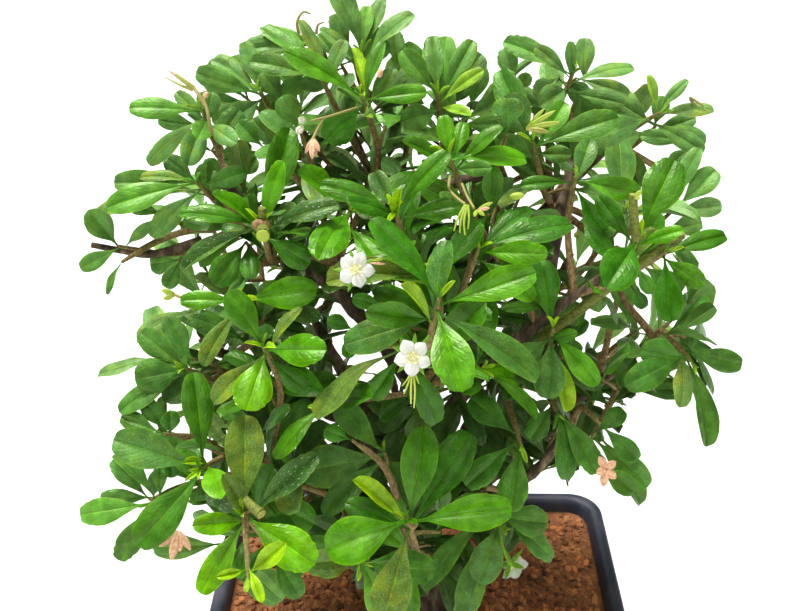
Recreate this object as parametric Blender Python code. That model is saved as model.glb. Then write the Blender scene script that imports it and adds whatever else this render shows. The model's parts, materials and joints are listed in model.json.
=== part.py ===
"""Potted fukien tea tree: a small clipped tree in a square nursery pot. Metres, +Z up.

The origin is the centre of the pot's flat underside, and the tree's shown side faces -Y.
Shoots on the shown side are placed by where they stand in the reference view, as a pixel of
its 800 x 611 frame and a distance from the eye. The others follow a rule over the crown.
"""

import math
import random
from collections import namedtuple

import bmesh
import bpy
from mathutils import Matrix, Vector
from mathutils.bvhtree import BVHTree

# Driving sizes of the pot and soil
POT_SIDE = 0.150
POT_HEIGHT = 0.120
POT_FOOT_SIDE = 0.112
POT_WALL = 0.0022
POT_FLOOR = 0.003
LIP_WIDTH = 0.0045
LIP_DROP = 0.0115
CORNER_RADIUS = 0.013
DRAIN_RADIUS = 0.0045
DRAIN_FROM_CENTRE = 0.030
SOIL_BELOW_RIM = 0.0055
FIT_GAP = 0.0003
SOIL_CORNER = CORNER_RADIUS - 0.003
SOIL_RISE = 0.0006
SOIL_LUMP = 0.0013
SOIL_LUMP_RINGS = 4
SOIL_CELLS = 28
SOIL_HOLE_CELLS = 2
SOIL_SEED = 3
TRUNK_HOLE_SLACK = 0.0003
WALL_SLACK = 0.0004

# Driving sizes of the wood
TRUNK_FOOT_RADIUS = 0.0088
TRUNK_HOLE_DEPTH = 0.024
TWIG_RADIUS = 0.0009
TWIG_CLEARANCE = 0.0028
TWIG_STRAIGHT = 0.0018
STEM_RADIUS = 0.0008
STEM_PAST_SEAT = 0.0012

# Driving sizes of the leaves and flowers
BLADE_THICKNESS = 0.0009
LEAST_WIDTH_RATIO = 0.38
LEAF_STEP = 0.0011
GUARD = 0.00045
FLOWER_DIAMETER = 0.0094
PETAL_WIDTH = 0.0040
CALYX_REACH = 0.0056
CALYX_BEHIND = 0.0017
SEPAL_WIDTH = 0.0013
STALK_RADIUS = 0.0005

# The reference view: eye in the pot's frame, its dip and turn, and its scale in pixels
EYE = Vector((-0.0021, -0.3179, POT_HEIGHT + 0.2828))
EYE_DIP = math.radians(26.6)
EYE_TURN = math.radians(0.73)
VIEW_SCALE = 1150.0
VIEW_MIDDLE = (400.0, 305.5)
VIEW_AHEAD = Vector((-math.sin(EYE_TURN) * math.cos(EYE_DIP),
                     math.cos(EYE_TURN) * math.cos(EYE_DIP), -math.sin(EYE_DIP)))
VIEW_RIGHT = Vector((math.cos(EYE_TURN), math.sin(EYE_TURN), 0.0))
VIEW_UP = VIEW_RIGHT.cross(VIEW_AHEAD)
MM = 0.001

# Crown: middle and reach of the ellipsoid on which the rule's shoots end
CROWN_MIDDLE = Vector((0.001, 0.012, 0.207))
CROWN_REACH = Vector((0.081, 0.076, 0.093))
CROWN_POINTS = 58
CROWN_SHOOTS = 20
CROWN_LOWEST = -0.28
CROWN_CLEARANCE = 0.0205
CROWN_FORK_REACH = 0.046
CROWN_STEM = 0.016
CROWN_STUB = 0.004
CROWN_LEAVES = (4, 3)
CROWN_SEED = 11

UP = Vector((0.0, 0.0, 1.0))

Leaf = namedtuple("Leaf", "tip near wide age")
Shoot = namedtuple("Shoot", "name seat depth foot deeper leaves")
Flower = namedtuple("Flower", "name shoot centre depth facing turn")
Blade = namedtuple("Blade", "base tip up width arch fold")
Spray = namedtuple("Spray", "name stem blades")
Tube = namedtuple("Tube", "points radii sides")

# Ages of a leaf: young, bright, middle, dark, dull, old, spotted, each with its arch and fold
AGE_FORM = {"Y": (0.35, 0.55), "B": (0.55, 0.22), "M": (0.60, 0.25), "D": (0.65, 0.20),
            "G": (0.50, 0.18), "O": (0.70, 0.30), "S": (0.45, 0.40)}
AGE_COLOUR = {"Y": (0.30, 0.50, 0.02), "B": (0.09, 0.31, 0.015), "M": (0.05, 0.19, 0.02),
              "D": (0.02, 0.09, 0.01), "G": (0.09, 0.22, 0.06), "O": (0.13, 0.19, 0.04),
              "S": (0.10, 0.23, 0.05)}

# Shoots of the shown side: seat and foot are pixels, depth, deeper and near are millimetres
SHOWN_SHOOTS = (
    Shoot("shoot_centre", (438, 302), 275, (427, 352), 10, (
        Leaf((370, 220), 2, 32, "D"), Leaf((536, 272), 2, 40, "B"), Leaf((466, 402), 5, 45, "B"),
        Leaf((537, 381), -3, 36, "G"), Leaf((344, 345), -4, 38, "G"), Leaf((365, 312), 4, 36, "M"),
        Leaf((447, 240), -7, 28, "G"), Leaf((400, 285), 8, 12, "Y"))),
    Shoot("shoot_centre_behind", (438, 278), 289, (440, 308), 13, (
        Leaf((326, 282), 1, 32, "O"), Leaf((376, 248), 3, 16, "D"), Leaf((480, 222), -6, 26, "D"))),
    Shoot("shoot_centre_low", (402, 350), 294, (414, 380), 13, (
        Leaf((315, 418), 0, 10, "O"), Leaf((372, 398), -7, 26, "D"), Leaf((436, 424), -9, 30, "D"))),
    Shoot("shoot_left_middle", (264, 348), 300, (276, 372), 12, (
        Leaf((229, 291), 4, 32, "M"), Leaf((327, 350), 8, 38, "B"), Leaf((246, 411), 7, 44, "B"),
        Leaf((213, 402), -3, 26, "O"), Leaf((302, 308), -6, 12, "O"), Leaf((306, 390), -9, 26, "D"))),
    Shoot("shoot_left_inner", (242, 300), 315, (258, 322), 12, (
        Leaf((317, 289), 3, 38, "B"), Leaf((180, 301), 0, 22, "B"), Leaf((203, 366), 2, 24, "O"))),
    Shoot("shoot_left_high", (262, 225), 305, (268, 252), 12, (
        Leaf((183, 270), 2, 20, "S"), Leaf((179, 214), 0, 22, "M"), Leaf((290, 128), -4, 42, "M"),
        Leaf((340, 205), 2, 18, "S"), Leaf((283, 161), 5, 24, "B"), Leaf((310, 264), -4, 30, "D"),
        Leaf((207, 197), 4, 14, "B"))),
    Shoot("shoot_left_far", (197, 183), 326, (216, 202), 10, (
        Leaf((107, 208), 3, 32, "B"), Leaf((140, 178), -2, 14, "O"), Leaf((245, 172), -3, 24, "D"),
        Leaf((150, 236), 2, 26, "G"), Leaf((90, 222), -8, 24, "O"))),
    Shoot("shoot_left_top", (203, 112), 330, (214, 140), 8, (
        Leaf((129, 108), 2, 26, "B"), Leaf((187, 166), 6, 32, "G"), Leaf((148, 164), -2, 16, "G"),
        Leaf((197, 140), 13, 24, "B"), Leaf((233, 141), 8, 22, "G"), Leaf((176, 92), -4, 18, "G"))),
    Shoot("shoot_left_crest", (262, 95), 349, (276, 122), 8, (
        Leaf((196, 72), 2, 32, "B"), Leaf((226, 124), 6, 28, "G"), Leaf((214, 58), -6, 24, "M"),
        Leaf((244, 42), -4, 26, "M"), Leaf((306, 76), 0, 24, "D"))),
    Shoot("shoot_top_centre", (362, 98), 315, (374, 132), 12, (
        Leaf((284, 52), 2, 30, "B"), Leaf((427, 92), 2, 24, "B"), Leaf((326, 141), -4, 38, "D"),
        Leaf((384, 42), -4, 20, "M"), Leaf((360, 44), -3, 14, "Y"), Leaf((395, 68), -5, 16, "G"),
        Leaf((364, 116), 10, 22, "Y"))),
    Shoot("shoot_crest_left", (322, 80), 338, (338, 112), 8, (
        Leaf((250, 62), 0, 24, "M"), Leaf((262, 27), -6, 20, "B"), Leaf((299, 20), 0, 14, "O"),
        Leaf((345, 40), -3, 18, "G"))),
    Shoot("shoot_crest", (362, 56), 345, (366, 88), 6, (
        Leaf((332, -20), 0, 26, "M"), Leaf((368, 6), -2, 18, "B"), Leaf((414, 14), 0, 14, "M"),
        Leaf((388, 2), -6, 14, "M"), Leaf((322, 26), 3, 14, "G"))),
    Shoot("shoot_crest_right", (438, 96), 335, (440, 124), 8, (
        Leaf((402, 50), 2, 28, "B"), Leaf((432, 36), -5, 26, "M"), Leaf((472, 42), -4, 28, "M"),
        Leaf((484, 70), 4, 16, "Y"), Leaf((471, 116), 8, 14, "Y"), Leaf((400, 122), 3, 30, "D"))),
    Shoot("shoot_centre_high", (396, 212), 290, (404, 242), 12, (
        Leaf((449, 152), 2, 28, "M"), Leaf((320, 185), 0, 22, "M"), Leaf((374, 172), -6, 30, "S"),
        Leaf((463, 206), 2, 24, "M"), Leaf((343, 204), 6, 18, "D"), Leaf((402, 188), 8, 14, "Y"))),
    Shoot("shoot_high_right", (450, 160), 300, (462, 190), 8, (
        Leaf((526, 160), -4, 22, "B"), Leaf((443, 115), -2, 20, "B"), Leaf((464, 122), -5, 18, "B"),
        Leaf((492, 168), 5, 18, "G"), Leaf((503, 127), 0, 16, "M"), Leaf((402, 141), 3, 14, "M"))),
    Shoot("shoot_upper_right", (533, 145), 325, (540, 176), 8, (
        Leaf((504, 96), 0, 40, "G"), Leaf((619, 118), 2, 32, "M"), Leaf((565, 102), -2, 28, "B"),
        Leaf((572, 154), 4, 22, "G"), Leaf((500, 70), -8, 38, "D"), Leaf((496, 136), 4, 26, "M"))),
    Shoot("shoot_far_crest", (572, 76), 352, (560, 104), 6, (
        Leaf((503, 42), 0, 22, "B"), Leaf((535, 47), 2, 16, "M"), Leaf((570, 41), 4, 14, "B"),
        Leaf((634, 68), -3, 14, "M"), Leaf((538, 106), 8, 34, "D"), Leaf((625, 104), 4, 26, "M"))),
    Shoot("shoot_far_right", (658, 114), 344, (634, 128), 8, (
        Leaf((648, 75), 0, 14, "Y"), Leaf((688, 80), 2, 16, "M"), Leaf((714, 110), 0, 16, "O"),
        Leaf((585, 138), 5, 36, "D"), Leaf((704, 152), 0, 24, "M"))),
    Shoot("shoot_right", (637, 240), 300, (624, 268), 9, (
        Leaf((675, 160), -2, 46, "M"), Leaf((606, 288), 10, 48, "D"), Leaf((598, 196), -2, 24, "D"),
        Leaf((684, 230), 4, 18, "B"))),
    Shoot("shoot_right_high", (575, 180), 309, (570, 206), 7, (
        Leaf((641, 192), 3, 28, "B"), Leaf((520, 186), 0, 18, "M"), Leaf((604, 232), -6, 28, "D"),
        Leaf((590, 140), -6, 26, "G"))),
    Shoot("shoot_right_centre", (478, 250), 298, (468, 276), 10, (
        Leaf((571, 225), 0, 30, "D"), Leaf((550, 254), 5, 28, "B"), Leaf((530, 205), -4, 22, "D"),
        Leaf((534, 300), 2, 26, "B"))),
    Shoot("shoot_right_inner", (553, 330), 318, (548, 352), 8, (
        Leaf((540, 260), -2, 34, "D"), Leaf((598, 385), 4, 30, "B"), Leaf((548, 398), 3, 38, "G"),
        Leaf((514, 366), -3, 30, "G"), Leaf((578, 333), 6, 18, "M"), Leaf((566, 412), -2, 16, "Y"))),
    Shoot("shoot_right_edge", (664, 254), 310, (646, 264), 3, (
        Leaf((671, 322), 2, 36, "D"), Leaf((704, 285), 2, 26, "B"), Leaf((726, 236), -4, 26, "M"))),
    Shoot("shoot_right_low", (688, 358), 318, (672, 340), 4, (
        Leaf((640, 350), 3, 34, "D"), Leaf((622, 388), 5, 32, "D"), Leaf((706, 447), 2, 18, "M"),
        Leaf((742, 365), -2, 28, "M"), Leaf((675, 410), 6, 18, "O"))),
    Shoot("shoot_low_right", (556, 408), 325, (548, 384), 6, (
        Leaf((596, 474), 4, 26, "M"), Leaf((566, 480), 1, 22, "D"), Leaf((530, 440), -2, 26, "D"))),
    Shoot("shoot_edge_right", (592, 437), 330, (606, 412), 6, (
        Leaf((648, 487), 3, 38, "M"), Leaf((624, 410), -3, 22, "D"), Leaf((640, 505), -3, 24, "M"))),
    Shoot("shoot_left_dark", (187, 369), 328, (206, 378), 10, (
        Leaf((135, 380), 4, 40, "D"), Leaf((140, 332), 0, 30, "M"), Leaf((119, 412), 2, 26, "M"),
        Leaf((168, 318), -4, 28, "D"))),
    Shoot("shoot_lower_left", (203, 468), 312, (222, 458), 13, (
        Leaf((193, 372), 0, 36, "M"), Leaf((113, 440), 2, 46, "G"), Leaf((137, 546), 4, 42, "M"),
        Leaf((222, 499), 12, 30, "B"), Leaf((183, 463), 7, 12, "Y"))),
    Shoot("shoot_left_tip", (152, 503), 326, (176, 496), 9, (
        Leaf((80, 515), 0, 30, "B"), Leaf((118, 560), 3, 28, "M"), Leaf((113, 455), -2, 18, "M"),
        Leaf((160, 464), -5, 16, "D"))),
    Shoot("shoot_front_left", (244, 515), 303, (262, 535), 14, (
        Leaf((245, 415), -2, 46, "O"), Leaf((315, 565), 6, 50, "B"), Leaf((318, 455), -2, 36, "S"),
        Leaf((201, 594), 5, 30, "B"), Leaf((192, 526), 6, 28, "B"), Leaf((215, 470), 3, 26, "O"))),
    Shoot("shoot_front_left", (248, 574), 297, (245, 512), 6, (
        Leaf((286, 543), 6, 28, "Y"), Leaf((216, 577), 5, 20, "Y"), Leaf((262, 603), 6, 16, "Y"))),
    Shoot("shoot_front", (408, 520), 300, (416, 548), 13, (
        Leaf((326, 550), 3, 56, "B"), Leaf((512, 508), 3, 46, "B"), Leaf((425, 424), 0, 44, "M"),
        Leaf((382, 626), 2, 45, "O"), Leaf((470, 432), -5, 44, "D"), Leaf((352, 480), 6, 24, "Y"),
        Leaf((345, 503), -4, 26, "D"))),
    Shoot("shoot_front_inner", (385, 454), 335, (392, 480), 8, (
        Leaf((300, 472), 0, 46, "G"), Leaf((336, 402), -3, 32, "D"), Leaf((326, 520), 3, 30, "D"))),
    Shoot("shoot_front_right", (500, 522), 332, (488, 500), 8, (
        Leaf((478, 587), 4, 40, "G"), Leaf((463, 628), 7, 34, "G"), Leaf((548, 523), 2, 38, "M"),
        Leaf((424, 590), 0, 20, "M"), Leaf((552, 560), -5, 24, "D"))),
    Shoot("shoot_mid_right", (520, 442), 322, (512, 416), 8, (
        Leaf((510, 512), 4, 34, "M"), Leaf((466, 486), -5, 32, "D"), Leaf((470, 398), -6, 32, "D"))),
)

# Flowers: a pixel and depth for the centre, which way each looks, as shares of ahead, right
# and up in the reference view, and its turn in degrees. The lowest one nods away from the eye.
FLOWERS = (
    Flower("flower_left", "shoot_centre_behind", (356, 270), 276, (-1.0, 0.05, 0.05), 32),
    Flower("flower_middle", "shoot_centre", (413, 357), 271, (-1.0, 0.0, -0.1), 12),
    Flower("flower_low", "shoot_front_right", (513, 566), 327, (0.55, 0.45, -0.55), 17),
)

# Main branches: the trunk they leave and the points they pass, in millimetres
TRUNK = ((0, 0, 92), (0, 0, 113), (1.5, 1, 124), (-2.5, 3, 142), (2, 2, 160), (5, 5, 186),
         (1, 9, 212), (-1, 12, 240), (-6, 13, 266))
TRUNK_RADII = (8.8, 8.8, 7.9, 6.9, 6.6, 5.6, 4.2, 3.0, 1.8)
BRANCHES = {
    "front_low": ((-2, 3, 146), (-3, -18, 163), (-4, -40, 184), (-4, -56, 202)),
    "front_left": ((0, 3, 153), (-18, -12, 176), (-34, -30, 196), (-45, -44, 208)),
    "left": ((3, 4, 172), (-24, 2, 200), (-48, -8, 222), (-66, -16, 240)),
    "front_high": ((5, 5, 182), (3, -14, 214), (5, -34, 242), (5, -50, 262)),
    "front_right": ((1, 3, 156), (18, -14, 178), (34, -30, 202), (44, -34, 222)),
    "right_high": ((4, 6, 190), (16, -14, 224), (33, -28, 252), (52, -34, 272)),
    "right": ((3, 3, 166), (30, -4, 196), (54, -14, 224), (68, -22, 244)),
    "left_high": ((2, 8, 204), (-18, 2, 238), (-38, -6, 264), (-56, -4, 284)),
    "right_top": ((1, 10, 216), (18, 10, 246), (40, 14, 272), (58, 18, 290)),
    "back_left": ((2, 4, 168), (-20, 26, 192), (-38, 46, 216), (-50, 58, 234)),
    "back": ((4, 6, 186), (1, 30, 214), (-5, 44, 236), (-9, 53, 250)),
    "back_right": ((3, 4, 170), (24, 24, 196), (42, 42, 220), (54, 54, 238)),
    "back_low": ((0, 3, 152), (-4, 26, 166), (-8, 48, 180), (-12, 64, 194)),
    "right_back": ((2, 3, 158), (28, 12, 174), (50, 20, 190), (68, 26, 206)),
    "left_back": ((0, 3, 155), (-28, 12, 172), (-50, 18, 190), (-68, 22, 208)),
}
BRANCH_RADII = (3.3, 2.4, 1.8, 1.3)


def clear_scene():
    for thing in list(bpy.data.objects):
        bpy.data.objects.remove(thing, do_unlink=True)


def new_collection(name):
    collection = bpy.data.collections.new(name)
    bpy.context.scene.collection.children.link(collection)
    return collection


def finish(thing, colour, roughness):
    """Give an object its own Principled material."""
    material = bpy.data.materials.new(thing.name)
    material.use_nodes = True
    shader = material.node_tree.nodes["Principled BSDF"]
    shader.inputs["Base Color"].default_value = (*colour, 1.0)
    shader.inputs["Roughness"].default_value = roughness
    shader.inputs["Metallic"].default_value = 0.0
    thing.data.materials.clear()
    thing.data.materials.append(material)


def mesh_object(name, points, faces, collection):
    mesh = bpy.data.meshes.new(name)
    mesh.from_pydata([tuple(point) for point in points], [], faces)
    mesh.update()
    thing = bpy.data.objects.new(name, mesh)
    collection.objects.link(thing)
    return thing


def seen_at(pixel, depth):
    """The point at a distance in millimetres along the line of sight through a pixel."""
    across = (pixel[0] - VIEW_MIDDLE[0]) / VIEW_SCALE
    above = (VIEW_MIDDLE[1] - pixel[1]) / VIEW_SCALE
    return EYE + (VIEW_AHEAD + VIEW_RIGHT * across + VIEW_UP * above) * depth * MM


# Pot and soil

def square_reach(angle, side, radius):
    """Distance from the centre to a rounded square's edge at an angle."""
    across = abs(math.cos(angle))
    along = abs(math.sin(angle))
    longer = max(across, along)
    shorter = min(across, along)
    half = side / 2
    if shorter / longer * half <= half - radius:
        return half / longer
    centre = half - radius
    middle = centre * (longer + shorter)
    return middle + math.sqrt(middle ** 2 - 2 * centre ** 2 + radius ** 2)


def square_ring(side, radius, height, corner_steps=3):
    points = []
    centre = side / 2 - radius
    for corner, (turn_x, turn_y) in enumerate(((1, 1), (-1, 1), (-1, -1), (1, -1))):
        for step in range(corner_steps + 1):
            angle = (corner + step / corner_steps) * math.pi / 2
            points.append((turn_x * centre + radius * math.cos(angle),
                           turn_y * centre + radius * math.sin(angle), height))
    return points


def loft(rings):
    """Points and faces of a closed body skinned over rings with equal numbers of points."""
    count = len(rings[0])
    points = [point for ring in rings for point in ring]
    faces = [tuple(reversed(range(count)))]
    for level in range(len(rings) - 1):
        low = level * count
        for step in range(count):
            after = (step + 1) % count
            faces.append((low + step, low + after, low + count + after, low + count + step))
    last = (len(rings) - 1) * count
    faces.append(tuple(range(last, last + count)))
    return points, faces


def body_side(height):
    """Outer side of the pot's tapered body."""
    under_lip = POT_SIDE - 2 * LIP_WIDTH
    return POT_FOOT_SIDE + (under_lip - POT_FOOT_SIDE) * height / (POT_HEIGHT - LIP_DROP)


def inner_side(height):
    return min(body_side(height) - 2 * POT_WALL, POT_SIDE - 2 * LIP_WIDTH - 0.0025)


def make_pot(collection, cutters):
    lip_foot = POT_HEIGHT - LIP_DROP
    rounding = 0.002
    inner_corner = CORNER_RADIUS - 0.004
    rings = [
        square_ring(POT_FOOT_SIDE - 2 * rounding, CORNER_RADIUS - rounding, 0.0),
        square_ring(POT_FOOT_SIDE, CORNER_RADIUS, rounding),
        square_ring(body_side(lip_foot), CORNER_RADIUS - 0.002, lip_foot),
        square_ring(POT_SIDE - 0.001, CORNER_RADIUS - 0.0005, lip_foot),
        square_ring(POT_SIDE, CORNER_RADIUS, lip_foot + 0.001),
        square_ring(POT_SIDE, CORNER_RADIUS, POT_HEIGHT - rounding),
        square_ring(POT_SIDE - 0.0012, CORNER_RADIUS - 0.0006, POT_HEIGHT - 0.0005),
        square_ring(POT_SIDE - 0.0034, CORNER_RADIUS - 0.0014, POT_HEIGHT),
        square_ring(POT_SIDE - 2 * LIP_WIDTH + 0.001, inner_corner, POT_HEIGHT),
        square_ring(inner_side(POT_HEIGHT), inner_corner, POT_HEIGHT - rounding),
        square_ring(inner_side(lip_foot), inner_corner, lip_foot),
        square_ring(inner_side(POT_FLOOR), inner_corner, POT_FLOOR),
    ]
    points, faces = loft(rings)
    pot = mesh_object("pot", points, faces, collection)
    for turn in range(4):
        angle = (turn + 0.5) * math.pi / 2
        place = (DRAIN_FROM_CENTRE * math.sqrt(2) * math.cos(angle),
                 DRAIN_FROM_CENTRE * math.sqrt(2) * math.sin(angle), POT_FLOOR / 2)
        bpy.ops.mesh.primitive_cylinder_add(vertices=12, radius=DRAIN_RADIUS, depth=0.01,
                                            location=place)
        hole = bpy.context.object
        hole.name = f"drain_cutter_{turn + 1}"
        hole.hide_render = True
        hole.display_type = "WIRE"
        for owner in list(hole.users_collection):
            owner.objects.unlink(hole)
        cutters.objects.link(hole)
    cut = pot.modifiers.new("drain holes", "BOOLEAN")
    cut.operation = "DIFFERENCE"
    cut.operand_type = "COLLECTION"
    cut.collection = cutters
    cut.solver = "EXACT"
    finish(pot, (0.035, 0.040, 0.050), 0.45)


def square_path(reach):
    """Cells of a square ring round a lattice's middle, counter-clockwise from its lower right."""
    side = range(-reach, reach)
    return ([(reach, step) for step in side] + [(-step, reach) for step in side]
            + [(-reach, -step) for step in side] + [(step, -reach) for step in side])


def make_soil(collection):
    """Lumpy soil on a lattice that runs from the trunk's round hole out to the pot's wall."""
    draw = random.Random(SOIL_SEED)
    half = SOIL_CELLS // 2
    level = POT_HEIGHT - SOIL_BELOW_RIM
    hole_radius = TRUNK_FOOT_RADIUS + FIT_GAP + TRUNK_HOLE_SLACK

    def place(cell, side, height):
        angle = math.atan2(cell[1], cell[0])
        share = (max(abs(cell[0]), abs(cell[1])) - SOIL_HOLE_CELLS) / (half - SOIL_HOLE_CELLS)
        reach = hole_radius + (square_reach(angle, side, SOIL_CORNER) - hole_radius) * share
        return reach * math.cos(angle), reach * math.sin(angle), height

    def wall_side(height):
        return inner_side(height) - 2 * FIT_GAP - WALL_SLACK

    points = []
    index = {}
    for ring in range(SOIL_HOLE_CELLS, half + 1):
        fade = 0.0 if ring == half else min(1.0, (ring - SOIL_HOLE_CELLS) / SOIL_LUMP_RINGS)
        for cell in square_path(ring):
            index[cell] = len(points)
            height = level + fade * (SOIL_RISE + SOIL_LUMP * draw.uniform(-1.0, 1.0))
            points.append(place(cell, wall_side(level), height))
    faces = []
    for across in range(-half, half):
        for along in range(-half, half):
            corners = ((across, along), (across + 1, along), (across + 1, along + 1), (across, along + 1))
            if all(cell in index for cell in corners):
                faces.append(tuple(index[cell] for cell in corners))

    for ring, side, depth, outside in ((half, wall_side(POT_FLOOR), level - POT_FLOOR - FIT_GAP, True),
                                       (SOIL_HOLE_CELLS, 0.0, TRUNK_HOLE_DEPTH, False)):
        upper = [index[cell] for cell in square_path(ring)]
        lower = [len(points) + step for step in range(len(upper))]
        points += [place(cell, side, level - depth) for cell in square_path(ring)]
        for a, b, c, d in zip(lower, lower[1:] + lower[:1], upper[1:] + upper[:1], upper):
            faces.append((a, b, c, d) if outside else (d, c, b, a))
        faces.append(tuple(reversed(lower)) if outside else tuple(lower))
    soil = mesh_object("soil", points, faces, collection)
    finish(soil, (0.155, 0.053, 0.021), 0.95)


# Tubes and unions

def tube_object(name, tube, collection):
    """A capped tube along points, made from a bevelled curve and turned into a closed mesh."""
    curve = bpy.data.curves.new(name, "CURVE")
    curve.dimensions = "3D"
    curve.bevel_depth = 1.0
    curve.bevel_resolution = (tube.sides - 4) // 2
    curve.use_fill_caps = True
    curve.twist_mode = "MINIMUM"
    line = curve.splines.new("POLY")
    line.points.add(len(tube.points) - 1)
    for knot, place, radius in zip(line.points, tube.points, tube.radii):
        knot.co = (*place, 1.0)
        knot.radius = radius
    guide = bpy.data.objects.new(name + "_guide", curve)
    collection.objects.link(guide)
    shown = guide.evaluated_get(bpy.context.evaluated_depsgraph_get())
    mesh = bpy.data.meshes.new_from_object(shown)
    work = bmesh.new()
    work.from_mesh(mesh)
    bmesh.ops.remove_doubles(work, verts=work.verts, dist=1e-6)
    bmesh.ops.recalc_face_normals(work, faces=work.faces)
    work.to_mesh(mesh)
    work.free()
    bpy.data.objects.remove(guide, do_unlink=True)
    thing = bpy.data.objects.new(name, mesh)
    collection.objects.link(thing)
    return thing


def keep_one_body(mesh):
    """Keep the largest of a mesh's separate bodies, so that a sealed hollow is filled."""
    work = bmesh.new()
    work.from_mesh(mesh)
    left = set(work.verts)
    bodies = []
    while left:
        body = set()
        front = [left.pop()]
        while front:
            corner = front.pop()
            body.add(corner)
            for edge in corner.link_edges:
                other = edge.other_vert(corner)
                if other in left:
                    left.remove(other)
                    front.append(other)
        bodies.append(body)
    bodies.sort(key=len, reverse=True)
    for body in bodies[1:]:
        bmesh.ops.delete(work, geom=list(body), context="VERTS")
    work.to_mesh(mesh)
    work.free()


def fuse(base, repeats, solver):
    """Join a base object with all the objects of a collection, which are then removed."""
    join = base.modifiers.new("join", "BOOLEAN")
    join.operation = "UNION"
    join.operand_type = "COLLECTION"
    join.collection = repeats
    join.solver = solver
    shown = base.evaluated_get(bpy.context.evaluated_depsgraph_get())
    mesh = bpy.data.meshes.new_from_object(shown)
    base.modifiers.clear()
    base.data = mesh
    for thing in list(repeats.objects):
        bpy.data.objects.remove(thing, do_unlink=True)
    bpy.data.collections.remove(repeats)
    keep_one_body(mesh)


# Leaves

# Edge points of a leaf, a petal and a sepal, as shares of the length and of the half width.
# Leaves on the shown side have a blunt tip with a tooth each side, and the rule's a plain one.
LEAF_EDGE = ((0.34, 0.64), (0.64, 1.0), (0.90, 0.72), (0.91, 0.44))
CROWN_EDGE = ((0.34, 0.64), (0.66, 1.0), (0.92, 0.62))
PETAL_EDGE = ((0.40, 0.66), (0.68, 1.0), (0.92, 0.66))
SEPAL_EDGE = ((0.45, 1.0),)
CREST_SHARE = 0.58


def blade_sheet(blade, lift=0.0, guard=0.0, edge=LEAF_EDGE):
    """Points of one face of a blade: base, right edge, tip, left edge, then the midrib's crest."""
    chord = blade.tip - blade.base
    axis = chord.normalized()
    up = (blade.up - axis * blade.up.dot(axis)).normalized()
    side = axis.cross(up)
    length = chord.length + guard
    half_width = blade.width / 2 + guard
    half_arch = blade.arch / 2

    def place(along, across, raised):
        turn = blade.arch * along - half_arch
        ahead = (math.sin(turn) + math.sin(half_arch)) / (2 * math.sin(half_arch))
        above = (math.cos(turn) - math.cos(half_arch)) / (2 * math.sin(half_arch))
        edge_lift = abs(across) * half_width * math.sin(blade.fold)
        return (blade.base + axis * ahead * length + up * (above * length + edge_lift + raised)
                + side * across * half_width * math.cos(blade.fold))

    rim = [place(0.0, 0.0, lift * guard)]
    rim += [place(along, across, lift * guard) for along, across in edge]
    rim.append(place(1.0, 0.0, lift * guard))
    rim += [place(along, -across, lift * guard) for along, across in reversed(edge)]
    swell = lift * (BLADE_THICKNESS / 2 + guard)
    return rim + [place(CREST_SHARE, 0.0, swell)]


def sheet_faces(edge=LEAF_EDGE):
    """A fan round the crest, whose first and last faces meet the base."""
    crest = 2 * len(edge) + 2
    return [(corner, (corner + 1) % crest, crest) for corner in range(crest)]


def blade_body(blade, edge=LEAF_EDGE):
    """Points and faces of a closed lens-shaped blade."""
    upper = blade_sheet(blade, 1.0, edge=edge)
    keel = blade_sheet(blade, -1.0, edge=edge)[-1]
    fan = sheet_faces(edge)
    faces = [tuple(reversed(face)) for face in fan]
    faces += [(first, second, crest + 1) for first, second, crest in fan]
    return upper + [keel], faces


def guard_sheets(blade, skip_base):
    """Points and faces of the blade's two faces and its middle, all a little too large."""
    shown = sheet_faces()[1:-1] if skip_base else sheet_faces()
    points = []
    faces = []
    for lift in (-1.0, 0.0, 1.0):
        start = len(points)
        points += blade_sheet(blade, lift, GUARD)
        faces += [tuple(corner + start for corner in face) for face in shown]
    return points, faces


class Obstacles:
    """What a new blade has to stay clear of, as one growing list of triangles."""

    def __init__(self):
        self.points = []
        self.faces = []
        self.tree = None

    def add(self, points, faces):
        start = len(self.points)
        self.points += [Vector(point) for point in points]
        self.faces += [tuple(corner + start for corner in face) for face in faces]
        self.tree = None

    def meets(self, points, faces):
        if not self.faces:
            return False
        if self.tree is None:
            self.tree = BVHTree.FromPolygons(self.points, self.faces)
        return bool(self.tree.overlap(BVHTree.FromPolygons(points, faces)))


def rod(points, radius):
    """A plain three-sided skin round a stem, used only to keep leaves off it."""
    skin = []
    faces = []
    for place, after in zip(points, points[1:]):
        axis = (after - place).normalized()
        side = axis.orthogonal().normalized()
        start = len(skin)
        for end in (place, after):
            for turn in range(3):
                skin.append(end + Matrix.Rotation(turn * 2 * math.pi / 3, 3, axis) @ side * radius)
        for turn in range(3):
            other = (turn + 1) % 3
            faces.append((start + turn, start + other, start + 3 + other, start + 3 + turn))
    return skin, faces


# Nudges tried in turn, as shares of the blade's length: along its upper face, and sideways
NUDGES = ((0, 0), (0.10, 0), (-0.10, 0), (0.20, 0), (-0.20, 0), (0.32, 0), (-0.32, 0),
          (0, 0.15), (0, -0.15), (0.20, 0.18), (0.20, -0.18), (-0.20, 0.18), (-0.20, -0.18),
          (0.45, 0), (-0.45, 0), (0.15, 0.35), (0.15, -0.35), (-0.3, 0.35), (-0.3, -0.35),
          (0.6, 0.2), (0.6, -0.2))


def nudged(blade, raised, aside):
    chord = blade.tip - blade.base
    axis = chord.normalized()
    up = (blade.up - axis * blade.up.dot(axis)).normalized()
    side = axis.cross(up)
    moved = chord + (up * raised + side * aside) * chord.length
    return blade._replace(tip=blade.base + moved.normalized() * chord.length)


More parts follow.
